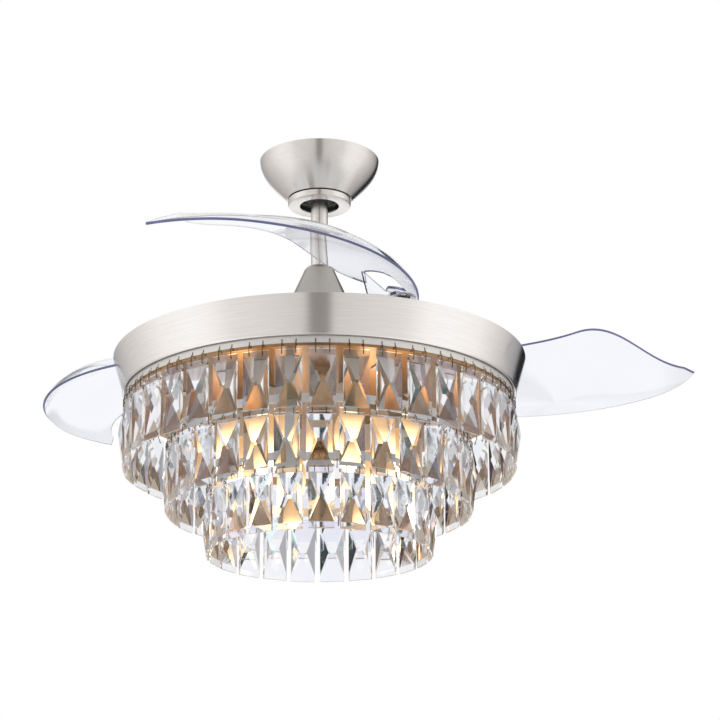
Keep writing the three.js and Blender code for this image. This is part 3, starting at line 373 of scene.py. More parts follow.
zincPaintedLight = plainFinish("brightZincPlatedSteel", {  # the zinc plate, shinier and in lighter tones: the lighter tone is painted light, so the carrier reads bright where the canopy reflects it
    "grain": 300.0, "tones": ("#d6d7d9", "#e8e9ea"), "rough": (0.25, 0.38)})
paintedShadeGrey = plainFinish("darkGreyPrimer", {  # dull dark grey on the hidden side of the canopy and its ring and on the hanger bracket: painted shade, where a ceiling would shade them
    "grain": 500.0, "tones": ("#2c2b2b", "#3a3938"), "rough": (0.55, 0.7), "metallic": 0.2})
blackNylon = plainFinish("blackMouldedNylon", {  # moulded, faintly grained
    "grain": 800.0, "tones": ("#232325", "#303033"), "rough": (0.45, 0.6), "metallic": 0.0})
whiteCeramic = plainFinish("whiteLampholderCeramic", {  # glazed, a warm white
    "grain": 400.0, "tones": ("#e6e1d6", "#f4f0e8"), "rough": (0.3, 0.45), "metallic": 0.0})
crystalGlass = clearGlass("cutCrystalGlass", {  # ground and polished optical glass, faint rainbow gloss
    "wave": 60.0, "tones": ("#f3f5fb", "#f8fafe"), "rough": (0.03, 0.045), "bump": 0.02,
    "ior": 1.54, "film": 362.0, "deepGlow": 0.34})
acrylicSheet = clearGlass("clearAcrylicSheet", {  # moulded acrylic, faintly blue
    "wave": 14.0, "tones": ("#f2f4fb", "#f8f9fd"), "rough": (0.0, 0.02), "bump": 0.05,
    "ior": 1.49, "film": 0.0})
acrylicEdge = clearGlass("acrylicCutEdge", {  # its edge gathers the colour of the sheet: violet blue
    "wave": 60.0, "tones": ("#7d81b6", "#9195c6"), "rough": (0.25, 0.4), "bump": 0.05,
    "ior": 1.49, "film": 0.0, "clear": 0.45})
pearlBulb = litGlass("litPearlLampGlass", {  # white-coated candle bulb: gold at its neck, creamy tip
    "grain": 40.0, "from": -118.0, "to": -160.0, "glow": (0.55, 7.0),
    "tones": ("#e0a04e", "#ffdeac")})
print("materials made")


# tools for the pieces

def shadeSmooth(mesh, degrees):
    mesh.shade_smooth()
    mesh.set_sharp_from_angle(angle=math.radians(degrees))


# Ends a mesh in the making, with its faces outwards.
def meshFrom(work, name):
    bmesh.ops.recalc_face_normals(work, faces=work.faces)
    mesh = bpy.data.meshes.new(name)
    work.to_mesh(mesh)
    work.free()
    return mesh


# The object's mesh with its modifiers applied.
def shapedMesh(thing):
    bpy.context.view_layer.update()
    return bpy.data.meshes.new_from_object(thing.evaluated_get(bpy.context.evaluated_depsgraph_get()))


# Joins two closed rows of points with faces.
def joinRows(work, low, high):
    for k in range(len(low)):
        n = (k + 1) % len(low)
        work.faces.new([low[k], low[n], high[n], high[k]])


def overRim(profile):
    return [(radius, height + rim) for radius, height in profile]


# A closed profile of (radius, height) in mm, turned round Z. Points on the axis become one pole.
def turnedMesh(name, profile, steps, sharp=30):
    work = bmesh.new()
    rows = []
    for radius, height in profile:
        spots = directions(steps) if radius > 1e-6 else [(0, 0)]
        rows.append([work.verts.new((radius * mm * x, radius * mm * y, height * mm)) for x, y in spots])
    for low, high in zip(rows, rows[1:] + rows[:1]):
        if len(low) == 1 and len(high) == 1:
            continue
        for k in range(steps):
            n = k + 1
            corners = [low[k % len(low)], low[n % len(low)], high[n % len(high)], high[k % len(high)]]
            unique = list(dict.fromkeys(corners))
            if len(unique) > 2:
                work.faces.new(unique)
    mesh = meshFrom(work, name)
    shadeSmooth(mesh, sharp)
    return mesh


# Makes a mesh a piece that rides on a body. A mesh that has its materials already comes with None.
def addPiece(name, mesh, material, slotName, replaced=(), body="hanging_body", edge=0, angle=30):
    piece = linkObject(name, mesh)
    if material is not None:
        mesh.materials.clear()
        mesh.materials.append(material)
    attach(piece, body)
    if replaced:
        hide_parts(*replaced)
    if edge:
        softEdges(piece, edge, angle)
    return piece


def addTurned(name, profile, steps, material, slotName, replaced=(), sharp=30, **more):
    return addPiece(name, turnedMesh(name, profile, steps, sharp), material, slotName, replaced, **more)


# A prism from plan points in mm, between two heights over the rim.
def cutterMesh(points, bottom, top):
    work = bmesh.new()
    low, high = [[work.verts.new((x * mm, y * mm, (height + rim) * mm)) for x, y in points]
                 for height in (bottom, top)]
    work.faces.new(low[::-1])
    work.faces.new(high)
    joinRows(work, low, high)
    return meshFrom(work, "cutter")


def disc(radius, x, y=0, count=48):
    return [(x + radius * dx, y + radius * dy) for dx, dy in directions(count)]


def booleanWith(target, mesh, operation):
    tool = linkObject("tool", mesh)
    modifier = target.modifiers.new("shape", "BOOLEAN")
    modifier.operation = operation
    modifier.solver = "EXACT"
    modifier.material_mode = "TRANSFER"
    modifier.object = tool
    result = shapedMesh(target)
    target.modifiers.remove(modifier)
    target.data = result
    bpy.data.objects.remove(tool)


def softEdges(piece, width, degrees):
    bevel = piece.modifiers.new("softEdges", "BEVEL")
    bevel.width = width * mm
    bevel.segments = 2
    bevel.limit_method = "ANGLE"
    bevel.angle_limit = math.radians(degrees)
    bevel.harden_normals = True


# Gives the faces that look inwards or up, over a height in mm, a second material: the painted shade inside
# the canopy and its trim ring.
def paintedShadeInside(mesh, material, above):
    mesh.materials.append(material)
    for face in mesh.polygons:
        inwards = face.normal.x * face.center.x + face.normal.y * face.center.y < -1e-6
        if (inwards or face.normal.z > 0.5) and face.center.z > above * mm:
            face.material_index = 1


def bezier(points, t):
    while len(points) > 1:
        points = [tuple(a + (b - a) * t for a, b in zip(p, q)) for p, q in zip(points, points[1:])]
    return points[0]


def bezierRow(points, steps):
    return [bezier(points, k / steps) for k in range(steps + 1)]


# turned metal pieces

canopySetting = {
    "curve": [(75.6, -1), (74.6, -20.1), (60.0, -33.9), (40.6, -53)], "steps": 24,
    "wall": 1.4, "lip": 1.0, "hole": 28.0, "floor": -53.0, "around": 192, "edge": 0.5,
    "paintedShadeFrom": 0.5,
}


def makeCanopy():
    s = canopySetting
    outside = bezierRow(s["curve"], s["steps"])
    inside = []
    for k, here in enumerate(outside):
        ahead = outside[min(k + 1, s["steps"])]
        behind = outside[max(k - 1, 0)]
        along = Vector((ahead[0] - behind[0], ahead[1] - behind[1])).normalized()
        inside.append((here[0] + along.y * s["wall"], here[1] - along.x * s["wall"]))
    inside[0] = (inside[0][0], outside[0][1])
    inside[-1] = (inside[-1][0] - s["lip"], s["floor"] + s["wall"])
    profile = [(s["hole"], s["floor"])] + outside[::-1] + inside + [(s["hole"], s["floor"] + s["wall"])]
    piece = addTurned("canopyBowl", profile, s["around"], nickelSatin, "brushed_nickel", ["canopy"],
                      body="ceiling_mount", edge=s["edge"])
    # the inside of the bowl gets the dark grey painted shade
    paintedShadeInside(piece.data, paintedShadeGrey, s["floor"] + s["paintedShadeFrom"])


trimSetting = {
    "radius": 39.7, "top": -54.4, "bottom": -62.0, "hole": 24.6, "wall": 1.5, "edge": 1.6, "corner": 0.5,
    "seat": -53.3, "seatOuter": 29.8, "seatInner": 28.2, "seatFoot": 27.0, "around": 160,
    "paintedShadeFrom": -0.4,
}


def makeTrimRing():
    s = trimSetting
    radius, bottom, wall = s["radius"], s["bottom"], s["wall"]
    floor = bottom + wall
    profile = [
        (s["hole"], bottom), (radius - s["edge"], bottom), (radius - s["corner"], bottom + s["corner"]),
        (radius, bottom + s["edge"]), (radius, s["top"]), (radius - wall, s["top"]), (radius - wall, floor),
        (s["seatOuter"], floor), (s["seatOuter"], s["seat"]), (s["seatInner"], s["seat"]),
        (s["seatFoot"], floor), (s["hole"], floor),
    ]
    piece = addTurned("canopyTrimRing", profile, s["around"], nickelSatin, "brushed_nickel", ["canopy_ring"],
                      body="ceiling_mount", edge=0.3)
    # the inside of the ring gets the dark grey painted shade
    paintedShadeInside(piece.data, paintedShadeGrey, floor + s["paintedShadeFrom"])


skirtSetting = {
    "profile": [(10.9, -47), (21.5, -49), (21.5, -50.5), (19.5, -51), (19.5, -53), (17, -53.5), (17, -55.5),
                (14, -56), (14, -57), (10.9, -57)],
    "around": 96,
}


# Stepped black seal under the hanger ball, seen round the rod in the trim ring's hole.
def makeBallSkirt():
    addTurned("ballSkirt", skirtSetting["profile"], skirtSetting["around"], blackNylon, "dark_polymer")


ballSetting = {
    "radius": 21.75, "centre": -34.0, "low": -19.0, "high": 16.0, "bore": 10.95, "steps": 20, "around": 96,
    "pinHole": 3.3, "grooveDepth": 2.8, "grooveWidth": 4.8, "grooveLength": 12.0, "grooveFrom": 11.5,
    "grooveTo": 31.5, "overrun": 30, "grooveOverrun": 4,
}


# Moulded hanger ball with its bore for the rod, the pin's hole and the groove that stops it from turning.
def makeHangerBall():
    s = ballSetting
    radius, far, lying = s["radius"], s["overrun"], Matrix.Rotation(math.pi / 2, 4, "X")
    first, last = math.asin(s["low"] / radius), math.asin(s["high"] / radius)
    angles = [first + (last - first) * k / s["steps"] for k in range(s["steps"] + 1)]
    face = [(radius * math.cos(angle), radius * math.sin(angle)) for angle in angles]
    profile = [(s["bore"], s["low"])] + face + [(s["bore"], s["high"])]
    ball = linkObject("ballDraft", turnedMesh("hangerBall", profile, s["around"]))
    hole = turnedMesh("pinHole", [(0.0, -far), (s["pinHole"], -far), (s["pinHole"], far), (0.0, far)], 32)
    hole.transform(lying)
    inner, outer, half = radius - s["grooveDepth"], radius + s["grooveOverrun"], s["grooveWidth"] / 2
    groove = turnedMesh("groove", [(inner, -half), (outer, -half), (outer, half), (inner, half)], 64)
    groove.transform(lying)
    part = linkObject("grooveDraft", groove)
    near, end, half = s["grooveFrom"], s["grooveTo"], s["grooveLength"] / 2
    keep = cutterMesh([(near, -half), (end, -half), (end, half), (near, half)], -far - rim, far - rim)
    booleanWith(part, keep, "INTERSECT")
    booleanWith(ball, hole, "DIFFERENCE")
    booleanWith(ball, part.data, "DIFFERENCE")
    mesh = ball.data
    mesh.transform(Matrix.Translation((0, 0, s["centre"] * mm)))
    mesh.name = "hangerBall"
    shadeSmooth(mesh, 30)
    for draft in (ball, part):
        bpy.data.objects.remove(draft)
    addPiece("hangerBall", mesh, blackNylon, "dark_polymer", ["hanger_ball"])


rodSetting = {"outer": 10.65, "inner": 8.05, "around": 96, "edge": 0.4}


def makeDownrod():
    s = rodSetting
    low, high = [corner.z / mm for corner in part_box("downrod")]
    profile = [(s["inner"], low), (s["outer"], low), (s["outer"], high), (s["inner"], high)]
    addTurned("downrodTube", profile, s["around"], nickelSatin, "brushed_nickel", ["downrod"], edge=s["edge"])


coverSetting = {
    "top": 126.0, "crownRadius": 13.05, "crownIn": 3.4, "shoulder": 116.0, "shoulderRadius": 21.2,
    "bottom": -2.5, "bottomRadius": 73.8, "flange": 0.6, "flangeTop": 1.5, "flangeEnd": 2, "wall": 1.5,
    "bore": 11.15, "seat": 112.3, "around": 128, "edge": 0.5,
}


def makeCouplingCover():
    s = coverSetting
    wide, bottom = s["bottomRadius"], s["bottom"]
    slope = (wide - s["shoulderRadius"]) / (s["shoulder"] - bottom)
    seatRadius = s["shoulderRadius"] + slope * (s["shoulder"] - s["seat"]) - s["wall"]
    profile = [(wide - s["wall"], bottom), (wide + s["flange"], bottom),
               (wide + s["flange"], bottom + s["flangeTop"]),
               (wide - slope * s["flangeEnd"], bottom + s["flangeEnd"])]
    profile += bezierRow([(s["shoulderRadius"], s["shoulder"]),
                          (s["shoulderRadius"] - s["crownIn"], s["top"]), (s["crownRadius"], s["top"])], 10)
    profile += [(s["bore"], s["top"]), (s["bore"], s["seat"]), (seatRadius, s["seat"])]
    # the cover's darker nickel is painted shade
    addTurned("couplingCoverCone", overRim(profile), s["around"], nickelPaintedShade, "brushed_nickel",
              ["coupling_cover"], edge=s["edge"])


drumSetting = {
    "topRadius": 254.0, "bottomRadius": 240.7, "height": 46.0, "wall": 1.0, "around": 256, "edge": 0.25,
    "bead": 0.9, "beadTop": 2.3, "wallFrom": 2.5,
    "beadShape": [(0.4, 0), (1, 0.5), (1, 1.2), (0.7, 1.9)],  # share of the bead, height
}


def makeDrum():
    s = drumSetting
    bottom, radius, wall = -s["height"], s["bottomRadius"], s["wall"]
    slope = (s["topRadius"] - radius) / s["height"]
    profile = [(radius - wall, bottom)]
    profile += [(radius + s["bead"] * share, bottom + height) for share, height in s["beadShape"]]
    profile += [(radius + slope * s["wallFrom"], bottom + s["beadTop"]), (s["topRadius"], 0),
                (s["topRadius"] - wall, 0)]
    addTurned("drumBandTurned", overRim(profile), s["around"], nickelRing, "brushed_nickel", ["drum_band"],
              sharp=40, edge=s["edge"], angle=50)


carrierSetting = {
    "hole": 30.0, "radius": 242.0, "bottom": -9.0, "top": -6.0, "registerOuter": 182.8,
    "registerInner": 179.8, "registerTop": -3.0, "blades": 3, "windowRadius": 34.0, "windowCircle": 130.0,
    "boreRadius": 4.3, "boreCircle": 230.0, "azimuth": 54.5, "overcut": 3, "around": 160, "edge": 0.25,
}


# Pressed plate on the rotor that carries the three blades, with a register ring and three light holes.
def makeCarrier():
    s = carrierSetting
    profile = [(s["hole"], s["bottom"]), (s["radius"], s["bottom"]), (s["radius"], s["top"]),
               (s["registerOuter"], s["top"]), (s["registerOuter"], s["registerTop"]),
               (s["registerInner"], s["registerTop"]), (s["registerInner"], s["top"]), (s["hole"], s["top"])]
    plate = linkObject("carrierDraft", turnedMesh("bladeCarrierPlate", overRim(profile), s["around"]))
    holes = ((s["windowCircle"], s["windowRadius"], 0.5), (s["boreCircle"], s["boreRadius"], 0))
    for i in range(s["blades"]):
        for circle, radius, turn in holes:
            outline = disc(radius, *polar(circle, s["azimuth"] + (i + turn) * 360 / s["blades"]), 64)
            cutter = cutterMesh(outline, s["bottom"] - s["overcut"], s["registerTop"] + s["overcut"])
            booleanWith(plate, cutter, "DIFFERENCE")
    mesh = plate.data
    mesh.name = "bladeCarrierPlate"
    shadeSmooth(mesh, 30)
    bpy.data.objects.remove(plate)
    # the carrier takes the zinc plate with painted light
    addPiece("bladeCarrierPlate", mesh, zincPaintedLight, "plain_steel", ["blade_carrier"], "rotor", s["edge"])


panSetting = {"hole": 8.8, "rimRadius": 236.5, "bottom": -57.7, "sheet": 1.5, "shelfInner": 229.0,
              "shelfTop": -44.5, "around": 192}


def makePan():
    s = panSetting
    floor, shelfBottom = s["bottom"] + s["sheet"], s["shelfTop"] - s["sheet"]
    inner = s["rimRadius"] - s["sheet"]
    profile = [(s["hole"], s["bottom"]), (s["rimRadius"], s["bottom"]), (s["rimRadius"], s["shelfTop"]),
               (s["shelfInner"], s["shelfTop"]), (s["shelfInner"], shelfBottom), (inner, shelfBottom),
               (inner, floor), (s["hole"], floor)]
    addTurned("lightPanTurned", overRim(profile), s["around"], satinPan, "painted_sheet", ["light_pan"])


capSetting = {"outside": [(0.0, -77.0), (4.6, -76.4), (8.2, -74.2), (9.8, -71.0), (9.8, -66.8)],
              "fit": 8.6, "end": -70.1, "around": 48}


# Domed cap on the lower end of the motor's shaft.
def makeShaftCap():
    s = capSetting
    fit, end = s["fit"], s["end"]
    profile = bezierRow(s["outside"], 12) + [(fit, s["outside"][-1][1]), (fit, end), (0.0, end)]
    addTurned("shaftCap", overRim(profile), s["around"], satinPan, "plain_steel")


for makeTurned in (makeCanopy, makeTrimRing, makeBallSkirt, makeHangerBall, makeDownrod, makeCouplingCover,
                   makeDrum, makeCarrier, makePan, makeShaftCap):
    makeTurned()
print("turned pieces made")


# crystals, hooks and their rings

crystalSetting = {"width": 30.0, "length": 76.9, "edge": 3.8, "depth": 15.0, "band": 8.0, "waist": 5.0,
                  "bevel": 0.7}
tiers = [
    {"count": 39, "radius": 238.1, "top": -62.0, "phase": -89.1,
     "nodes": ["crystal_tier_1", "crystal_tier_1_b", "crystal_tier_1_c"]},
    {"count": 31, "radius": 184.4, "top": -115.0, "phase": -90.0, "nodes": ["crystal_tier_2"]},
    {"count": 23, "radius": 135.1, "top": -168.0, "phase": -89.0, "nodes": ["crystal_tier_3"]},
]


# One pendant in the XZ plane, outer face to +Y, top edge at zero: an hourglass of facets on each face.
def crystalMesh():
    s = crystalSetting
    half, thin, thick, waist = s["width"] / 2, s["edge"] / 2, s["depth"] / 2, s["waist"] / 2
    length, band, narrow = s["length"], s["band"], thin * s["bevel"]
    rows = [(0, narrow), (-band, thin), (-length + band, thin), (-length, narrow)]
    work = bmesh.new()
    sides = []
    for side in (1, -1):
        grid = [[work.verts.new((x * mm, side * y * mm, z * mm)) for x in (-half, half)] for z, y in rows]
        left, right = [work.verts.new((x * mm, side * thick * mm, -length / 2 * mm)) for x in (-waist, waist)]
        for corners in ([*grid[0], *grid[1][::-1]], [*grid[2], *grid[3][::-1]], [*grid[1], right, left],
                        [left, right, *grid[2][::-1]], [grid[1][0], left, grid[2][0]],
                        [grid[1][1], grid[2][1], right]):
            work.faces.new(corners)
        sides.append(grid)
    front, back = sides
    for column in (0, 1):
        work.faces.new([row[column] for row in front] + [row[column] for row in back[::-1]])
    for row in (0, 3):
        work.faces.new([*front[row], *back[row][::-1]])
    return meshFrom(work, "crystalPendant")


hookSetting = {
    "wire": 0.55, "apart": 16.0, "sides": 6,
    "route": [(-2.2, 5.1), (-1.7, 7.9), (0.6, 8.3), (1.9, 6.7), (1.7, 2.0), (1.9, -1.2), (1.2, -4.5),
              (-0.6, -4.9), (-1.8, -2.9)],  # outwards, upwards from the crystal's top edge
}


# The pair of wire hooks of one crystal: over the strip's slot, down, and through the crystal's hole.
def hookMesh():
    s = hookSetting
    work = bmesh.new()
    route = s["route"]
    across = Vector((1, 0, 0))
    for side in (-s["apart"] / 2, s["apart"] / 2):
        rings = []
        for k, (y, z) in enumerate(route):
            ahead = route[min(k + 1, len(route) - 1)]
            behind = route[max(k - 1, 0)]
            third = Vector((0, ahead[0] - behind[0], ahead[1] - behind[1])).normalized().cross(across)
            offsets = [(across * x + third * y) * s["wire"] for x, y in directions(s["sides"])]
            rings.append([work.verts.new((Vector((side, y, z)) + offset) * mm) for offset in offsets])
        for low, high in zip(rings, rings[1:]):
            joinRows(work, low, high)
        work.faces.new(rings[0][::-1])
        work.faces.new(rings[-1])
    mesh = meshFrom(work, "wireHooks")
    mesh.shade_smooth()
    return mesh


# Geometry nodes: copies of one object round the Z axis, each turned outwards with a small seeded swing.
def ringTree(material):
    tree = bpy.data.node_groups.new("hangInARing", "GeometryNodeTree")
    kinds = {"Copy": "Object", "Count": "Int", "Seed": "Int"}
    for name in ("Copy", "Count", "Radius", "Height", "Phase", "Swing", "Seed", "Lean"):
        kind = "NodeSocket" + kinds.get(name, "Float")
        tree.interface.new_socket(name, in_out="INPUT", socket_type=kind)
    tree.interface.new_socket("Geometry", in_out="OUTPUT", socket_type="NodeSocketGeometry")
    given = addNode(tree, "NodeGroupInput").outputs
    circle = addNode(tree, "GeometryNodeMeshCircle", Vertices=given["Count"], Radius=given["Radius"])
    turn = addNode(tree, "CombineXYZ", Z=given["Phase"])
    lift = addNode(tree, "CombineXYZ", Z=given["Height"])
    placed = addNode(tree, "GeometryNodeTransform", Geometry=circle, Translation=lift, Rotation=turn)
    index = addNode(tree, "GeometryNodeInputIndex")
    step = addNode(tree, "Math", {"operation": "DIVIDE", 0: 2 * math.pi}, _1=given["Count"])
    angle = addNode(tree, "Math", {"operation": "MULTIPLY"}, _0=index, _1=step)
    facing = addNode(tree, "Math", {"operation": "ADD"}, _0=angle, _1=given["Phase"])
    outward = addNode(tree, "Math", {"operation": "SUBTRACT", 1: math.pi / 2}, _0=facing)
    draws = {}
    for name, seedShift in (("Swing", 0.0), ("Lean", 7.0)):
        least = addNode(tree, "Math", {"operation": "MULTIPLY", 1: -1.0}, _0=given[name])
        seed = addNode(tree, "Math", {"operation": "ADD", 1: seedShift}, _0=given["Seed"])
        draws[name] = addNode(tree, "FunctionNodeRandomValue", {"data_type": "FLOAT"}, _2=least,
                              _3=given[name], Seed=seed).outputs[1]
    around = addNode(tree, "Math", {"operation": "ADD"}, _0=outward, _1=draws["Swing"])
    rotation = addNode(tree, "CombineXYZ", X=draws["Lean"], Z=around)
    copy = addNode(tree, "GeometryNodeObjectInfo", {"transform_space": "ORIGINAL"}, Object=given["Copy"])
    hung = addNode(tree, "GeometryNodeInstanceOnPoints", Points=placed,
                   Instance=copy.outputs["Geometry"], Rotation=rotation)
    real = addNode(tree, "GeometryNodeRealizeInstances", Geometry=hung)
    finish = addNode(tree, "GeometryNodeSetMaterial", {"Material": material}, Geometry=real)
    addNode(tree, "NodeGroupOutput", Geometry=finish)
    return tree


# Runs the tree on an empty mesh and returns the result as a plain mesh.
def hangRing(name, copy, material, inputs):
    holder = linkObject(name + "Holder", bpy.data.meshes.new(name + "Holder"))
    modifier = holder.modifiers.new("ring", "NODES")
    tree = ringTree(material)
    modifier.node_group = tree
    sockets = {item.name: item.identifier for item in tree.interface.items_tree if item.in_out == "INPUT"}
    for key, value in {"Copy": copy, **inputs}.items():
        modifier[sockets[key]] = value
    mesh = shapedMesh(holder)
    mesh.name = name
    bpy.data.objects.remove(holder)
    bpy.data.node_groups.remove(tree)
    return mesh


stripSetting = {"sheet": 1.0, "height": 10.2, "above": 7.5, "behind": 1.2, "slot": 1.6, "slotRise": 1.6,
                "slotHeight": 3.4, "outerTop": -43.5}  # the outer strip reaches up to the pan's shelf


# The sheet ring that carries one tier, with two upright slots behind each crystal.
def stripMesh(name, tier, top):
    s = stripSetting
    radius = tier["radius"] - s["behind"]
    gap = hookSetting["apart"] / 2 / radius
    slot = s["slot"] / 2 / radius
    reach = math.pi / tier["count"]
    half = (reach + gap) / 2 + slot / 2
    marks = [-reach, -half, -gap - slot, -gap + slot, -gap / 3, gap / 3, gap - slot, gap + slot, half]
    angles = []
    for i in range(tier["count"]):
        middle = math.radians(tier["phase"]) + 2 * math.pi * i / tier["count"]
        angles += [(middle + mark, k in (2, 6)) for k, mark in enumerate(marks)]
    bottom = tier["top"] + s["above"]
    slotBottom = bottom + s["slotRise"]
    work = bmesh.new()
    columns = [[work.verts.new((radius * mm * math.cos(a), radius * mm * math.sin(a), (rim + z) * mm))
                for z in (bottom, slotBottom, slotBottom + s["slotHeight"], top)] for a, _ in angles]
    for k, (_, slotted) in enumerate(angles):
        here, there = columns[k], columns[(k + 1) % len(columns)]
        for row in (0, 2) if slotted else (0, 1, 2):
            work.faces.new([here[row], there[row], there[row + 1], here[row + 1]])
    return meshFrom(work, name)


strapSetting = {"perTier": 4, "phases": [0, 25, 70], "width": 12.0, "foot": 16.0, "sheet": 1.4, "gap": 0.1,
                "lift": 1}


# The bent straps that carry an inner tier: up from the strip to the pan, with a foot under the pan.
def strapMesh(name, tier, number):
    s = strapSetting
    count, half = tier["count"], s["width"] / 2
    high = panSetting["bottom"] - s["gap"]
    low = tier["top"] + stripSetting["above"] + s["lift"]
    outer = tier["radius"] - stripSetting["behind"] - stripSetting["sheet"] / 2
    inner = outer - s["sheet"]
    profile = [(outer, low), (outer, high), (inner - s["foot"], high), (inner - s["foot"], high - s["sheet"]),
               (inner, high - s["sheet"]), (inner, low)]
    work = bmesh.new()
    for k in range(s["perTier"]):
        nearest = round((s["phases"][number - 1] + k * 360 / s["perTier"]) * count / 360)
        turn = Matrix.Rotation(math.radians(tier["phase"] + nearest * 360 / count), 3, "Z")
        left, right = [[work.verts.new(turn @ Vector((x * mm, y * mm, (rim + z) * mm))) for x, z in profile]
                       for y in (-half, half)]
        work.faces.new(left)
        work.faces.new(right[::-1])
        joinRows(work, left, right)
    return meshFrom(work, name)


hangSetting = {"swing": 2.2, "lean": 0.8, "seed": 11}  # degrees that a crystal hangs off its true place


def makeTiers():
    crystal = linkObject("crystalSample", crystalMesh())
    hooks = linkObject("hookSample", hookMesh())
    loose = {"Swing": math.radians(hangSetting["swing"]), "Lean": math.radians(hangSetting["lean"])}
    for number, tier in enumerate(tiers, 1):
        common = {"Count": tier["count"], "Radius": tier["radius"] * mm, "Height": (rim + tier["top"]) * mm,
                  "Phase": math.radians(tier["phase"]), "Seed": hangSetting["seed"] * number}
        glass = hangRing(f"crystalsTier{number}", crystal, crystalGlass, {**common, **loose})
        addPiece(f"crystalsTier{number}", glass, None, "cut_crystal", tier["nodes"])
        wires = hangRing(f"hooksTier{number}", hooks, bronzeWire, {**common, "Swing": 0.0, "Lean": 0.0})
        addPiece(f"hooksTier{number}", wires, None, "plain_steel")
        s = stripSetting
        top = s["outerTop"] if number == 1 else tier["top"] + s["above"] + s["height"]
        strip = stripMesh(f"hookStrip{number}", tier, top)
        piece = addPiece(f"hookStrip{number}", strip, paleZinc, "plain_steel")
        thick = piece.modifiers.new("sheet", "SOLIDIFY")
        thick.thickness = s["sheet"] * mm
        thick.offset = 0
        if number > 1:
            straps = strapMesh(f"tierStraps{number}", tier, number)
            addPiece(f"tierStraps{number}", straps, paleZinc, "plain_steel", edge=0.3)
        print("tier", number, "hung")
    bpy.data.objects.remove(crystal)
    bpy.data.objects.remove(hooks)


makeTiers()


# lamps

lampSetting = {
    "count": 6, "circle": 100.0, "phase": -10.0, "holderRadius": 11.5, "holderTaper": 1, "holderTop": -58.0,
    "holderBottom": -92.0, "socketDepth": 6, "neck": 6.6, "neckTop": -72.0, "bulbFoot": 2.6,
    "bulbRadius": 17.5, "swell": 1.35, "taper": 0.95, "pull": 22, "bulbTip": -170.0, "gap": 0.3, "around": 32,
}


def makeLamps():
    s = lampSetting
    neck, low, wide = s["neck"], s["holderBottom"], s["bulbRadius"]
    collar = low - s["gap"]
    curve = bezierRow([(neck + s["bulbFoot"], collar), (wide * s["swell"], low - s["pull"]),
                       (wide * s["taper"], s["bulbTip"] + s["pull"]), (0.0, s["bulbTip"])], 20)
    bulbProfile = curve + [(0.0, s["neckTop"]), (neck, s["neckTop"]), (neck, collar)]
    bulb = turnedMesh("bulb", overRim(bulbProfile), s["around"], 50)
    top, socket = s["holderTop"], s["holderTop"] - s["socketDepth"]
    holderProfile = [(0.0, socket), (neck + s["gap"], socket), (neck + s["gap"], low),
                     (s["holderRadius"] - s["holderTaper"], low), (s["holderRadius"], top), (0.0, top)]
    holder = turnedMesh("holder", overRim(holderProfile), s["around"])
    for i in range(s["count"]):
        x, y = polar(s["circle"], s["phase"] + i * 360 / s["count"])
        glass, base = bulb.copy(), holder.copy()
        for mesh in (glass, base):
            mesh.transform(Matrix.Translation((x * mm, y * mm, 0)))
        lit = addPiece(f"bulbGlass{i + 1}", glass, pearlBulb, "lit_bulb", [f"bulb_{i + 1}"])
        lit.visible_shadow = False
        addPiece(f"lampHolder{i + 1}", base, whiteCeramic, "pale_polymer", [f"lamp_holder_{i + 1}"])


makeLamps()
print("lamps made")


# blades

bladeSetting = {
    "thickness": 3.0, "arc": 248.2, "sweep": 106.5, "rootLift": 2.4, "tipLift": 8.0, "tuck": 18.0,
    "arch": 15.0, "padBottom": 8.0, "padTop": 12.0, "padRadius": 17.0, "steps": 72, "lanes": 16,
    "last": 0.965, "pivotRadius": 230.0, "pivotAzimuth": 54.5, "opening": 66.2, "bore": 4.3,
    "seatBelow": 10.5, "seatAbove": 9.0,
    "windowReach": 44.5, "windowFar": 41.0, "windowNear": 18.0, "windowEdge": 6, "windowCorner": 3,
    "legWidth": 3.0, "legTurn": 26, "legSink": 0.5,
    "legSide": [(4.5, 5), (39, 8.3), (39, 11.7), (28.9, 11.7), (8.2, 25), (0, 31.5), (-3, 32.5)],
    "tuckFrom": 0.72, "tuckTo": 1.28,  # shares of the blade's length, as are the arch's
    "archFull": 0.25, "archFades": 0.45, "archEnds": 0.95,
    "archLean": 0.62, "rowSpread": 0.92, "laneSpread": 1.2,  # powers: under 1 gathers at the far end
}


# A place given from the folded blade's pivot side: distance from the axis, degrees back, height over the rim.
def folded(radius, back, height):
    return Vector((*polar(radius, -back), height))


def smoothstep(x, low, high):
    t = min(max((x - low) / (high - low), 0), 1)
    return t * t * (3 - 2 * t)


innerRoot = folded(192, 0, 27)
innerSwell = folded(102, 2, 55)
innerHollow = folded(152.8, 33.3, 63)
innerWaist = folded(100.4, 79.9, 60)
innerTurn = innerWaist * 1.73 - innerHollow * 0.73  # in line with the waist, so the edge has no kink there
innerNotch = folded(226.9, 80.8, 36)
bladeTip = folded(bladeSetting["arc"] - bladeSetting["tuck"], bladeSetting["sweep"], bladeSetting["tipLift"])
rootCurve = [tuple(p) for p in (innerRoot, innerSwell, innerHollow, innerWaist)]
tipCurve = [tuple(p) for p in (innerWaist, innerTurn, innerNotch, bladeTip)]
waistAt = 0.6  # share of the blade's length where both curves meet


def innerEdge(along):
    if along < waistAt:
        return Vector(bezier(rootCurve, along / waistAt))
    return Vector(bezier(tipCurve, (along - waistAt) / (1 - waistAt)))


def outerEdge(along):
    s = bladeSetting
    near = smoothstep(along, s["tuckFrom"], s["tuckTo"]) * 2
    lift = s["rootLift"] + (s["tipLift"] - s["rootLift"]) * along
    return folded(s["arc"] - s["tuck"] * near, s["sweep"] * along, lift)


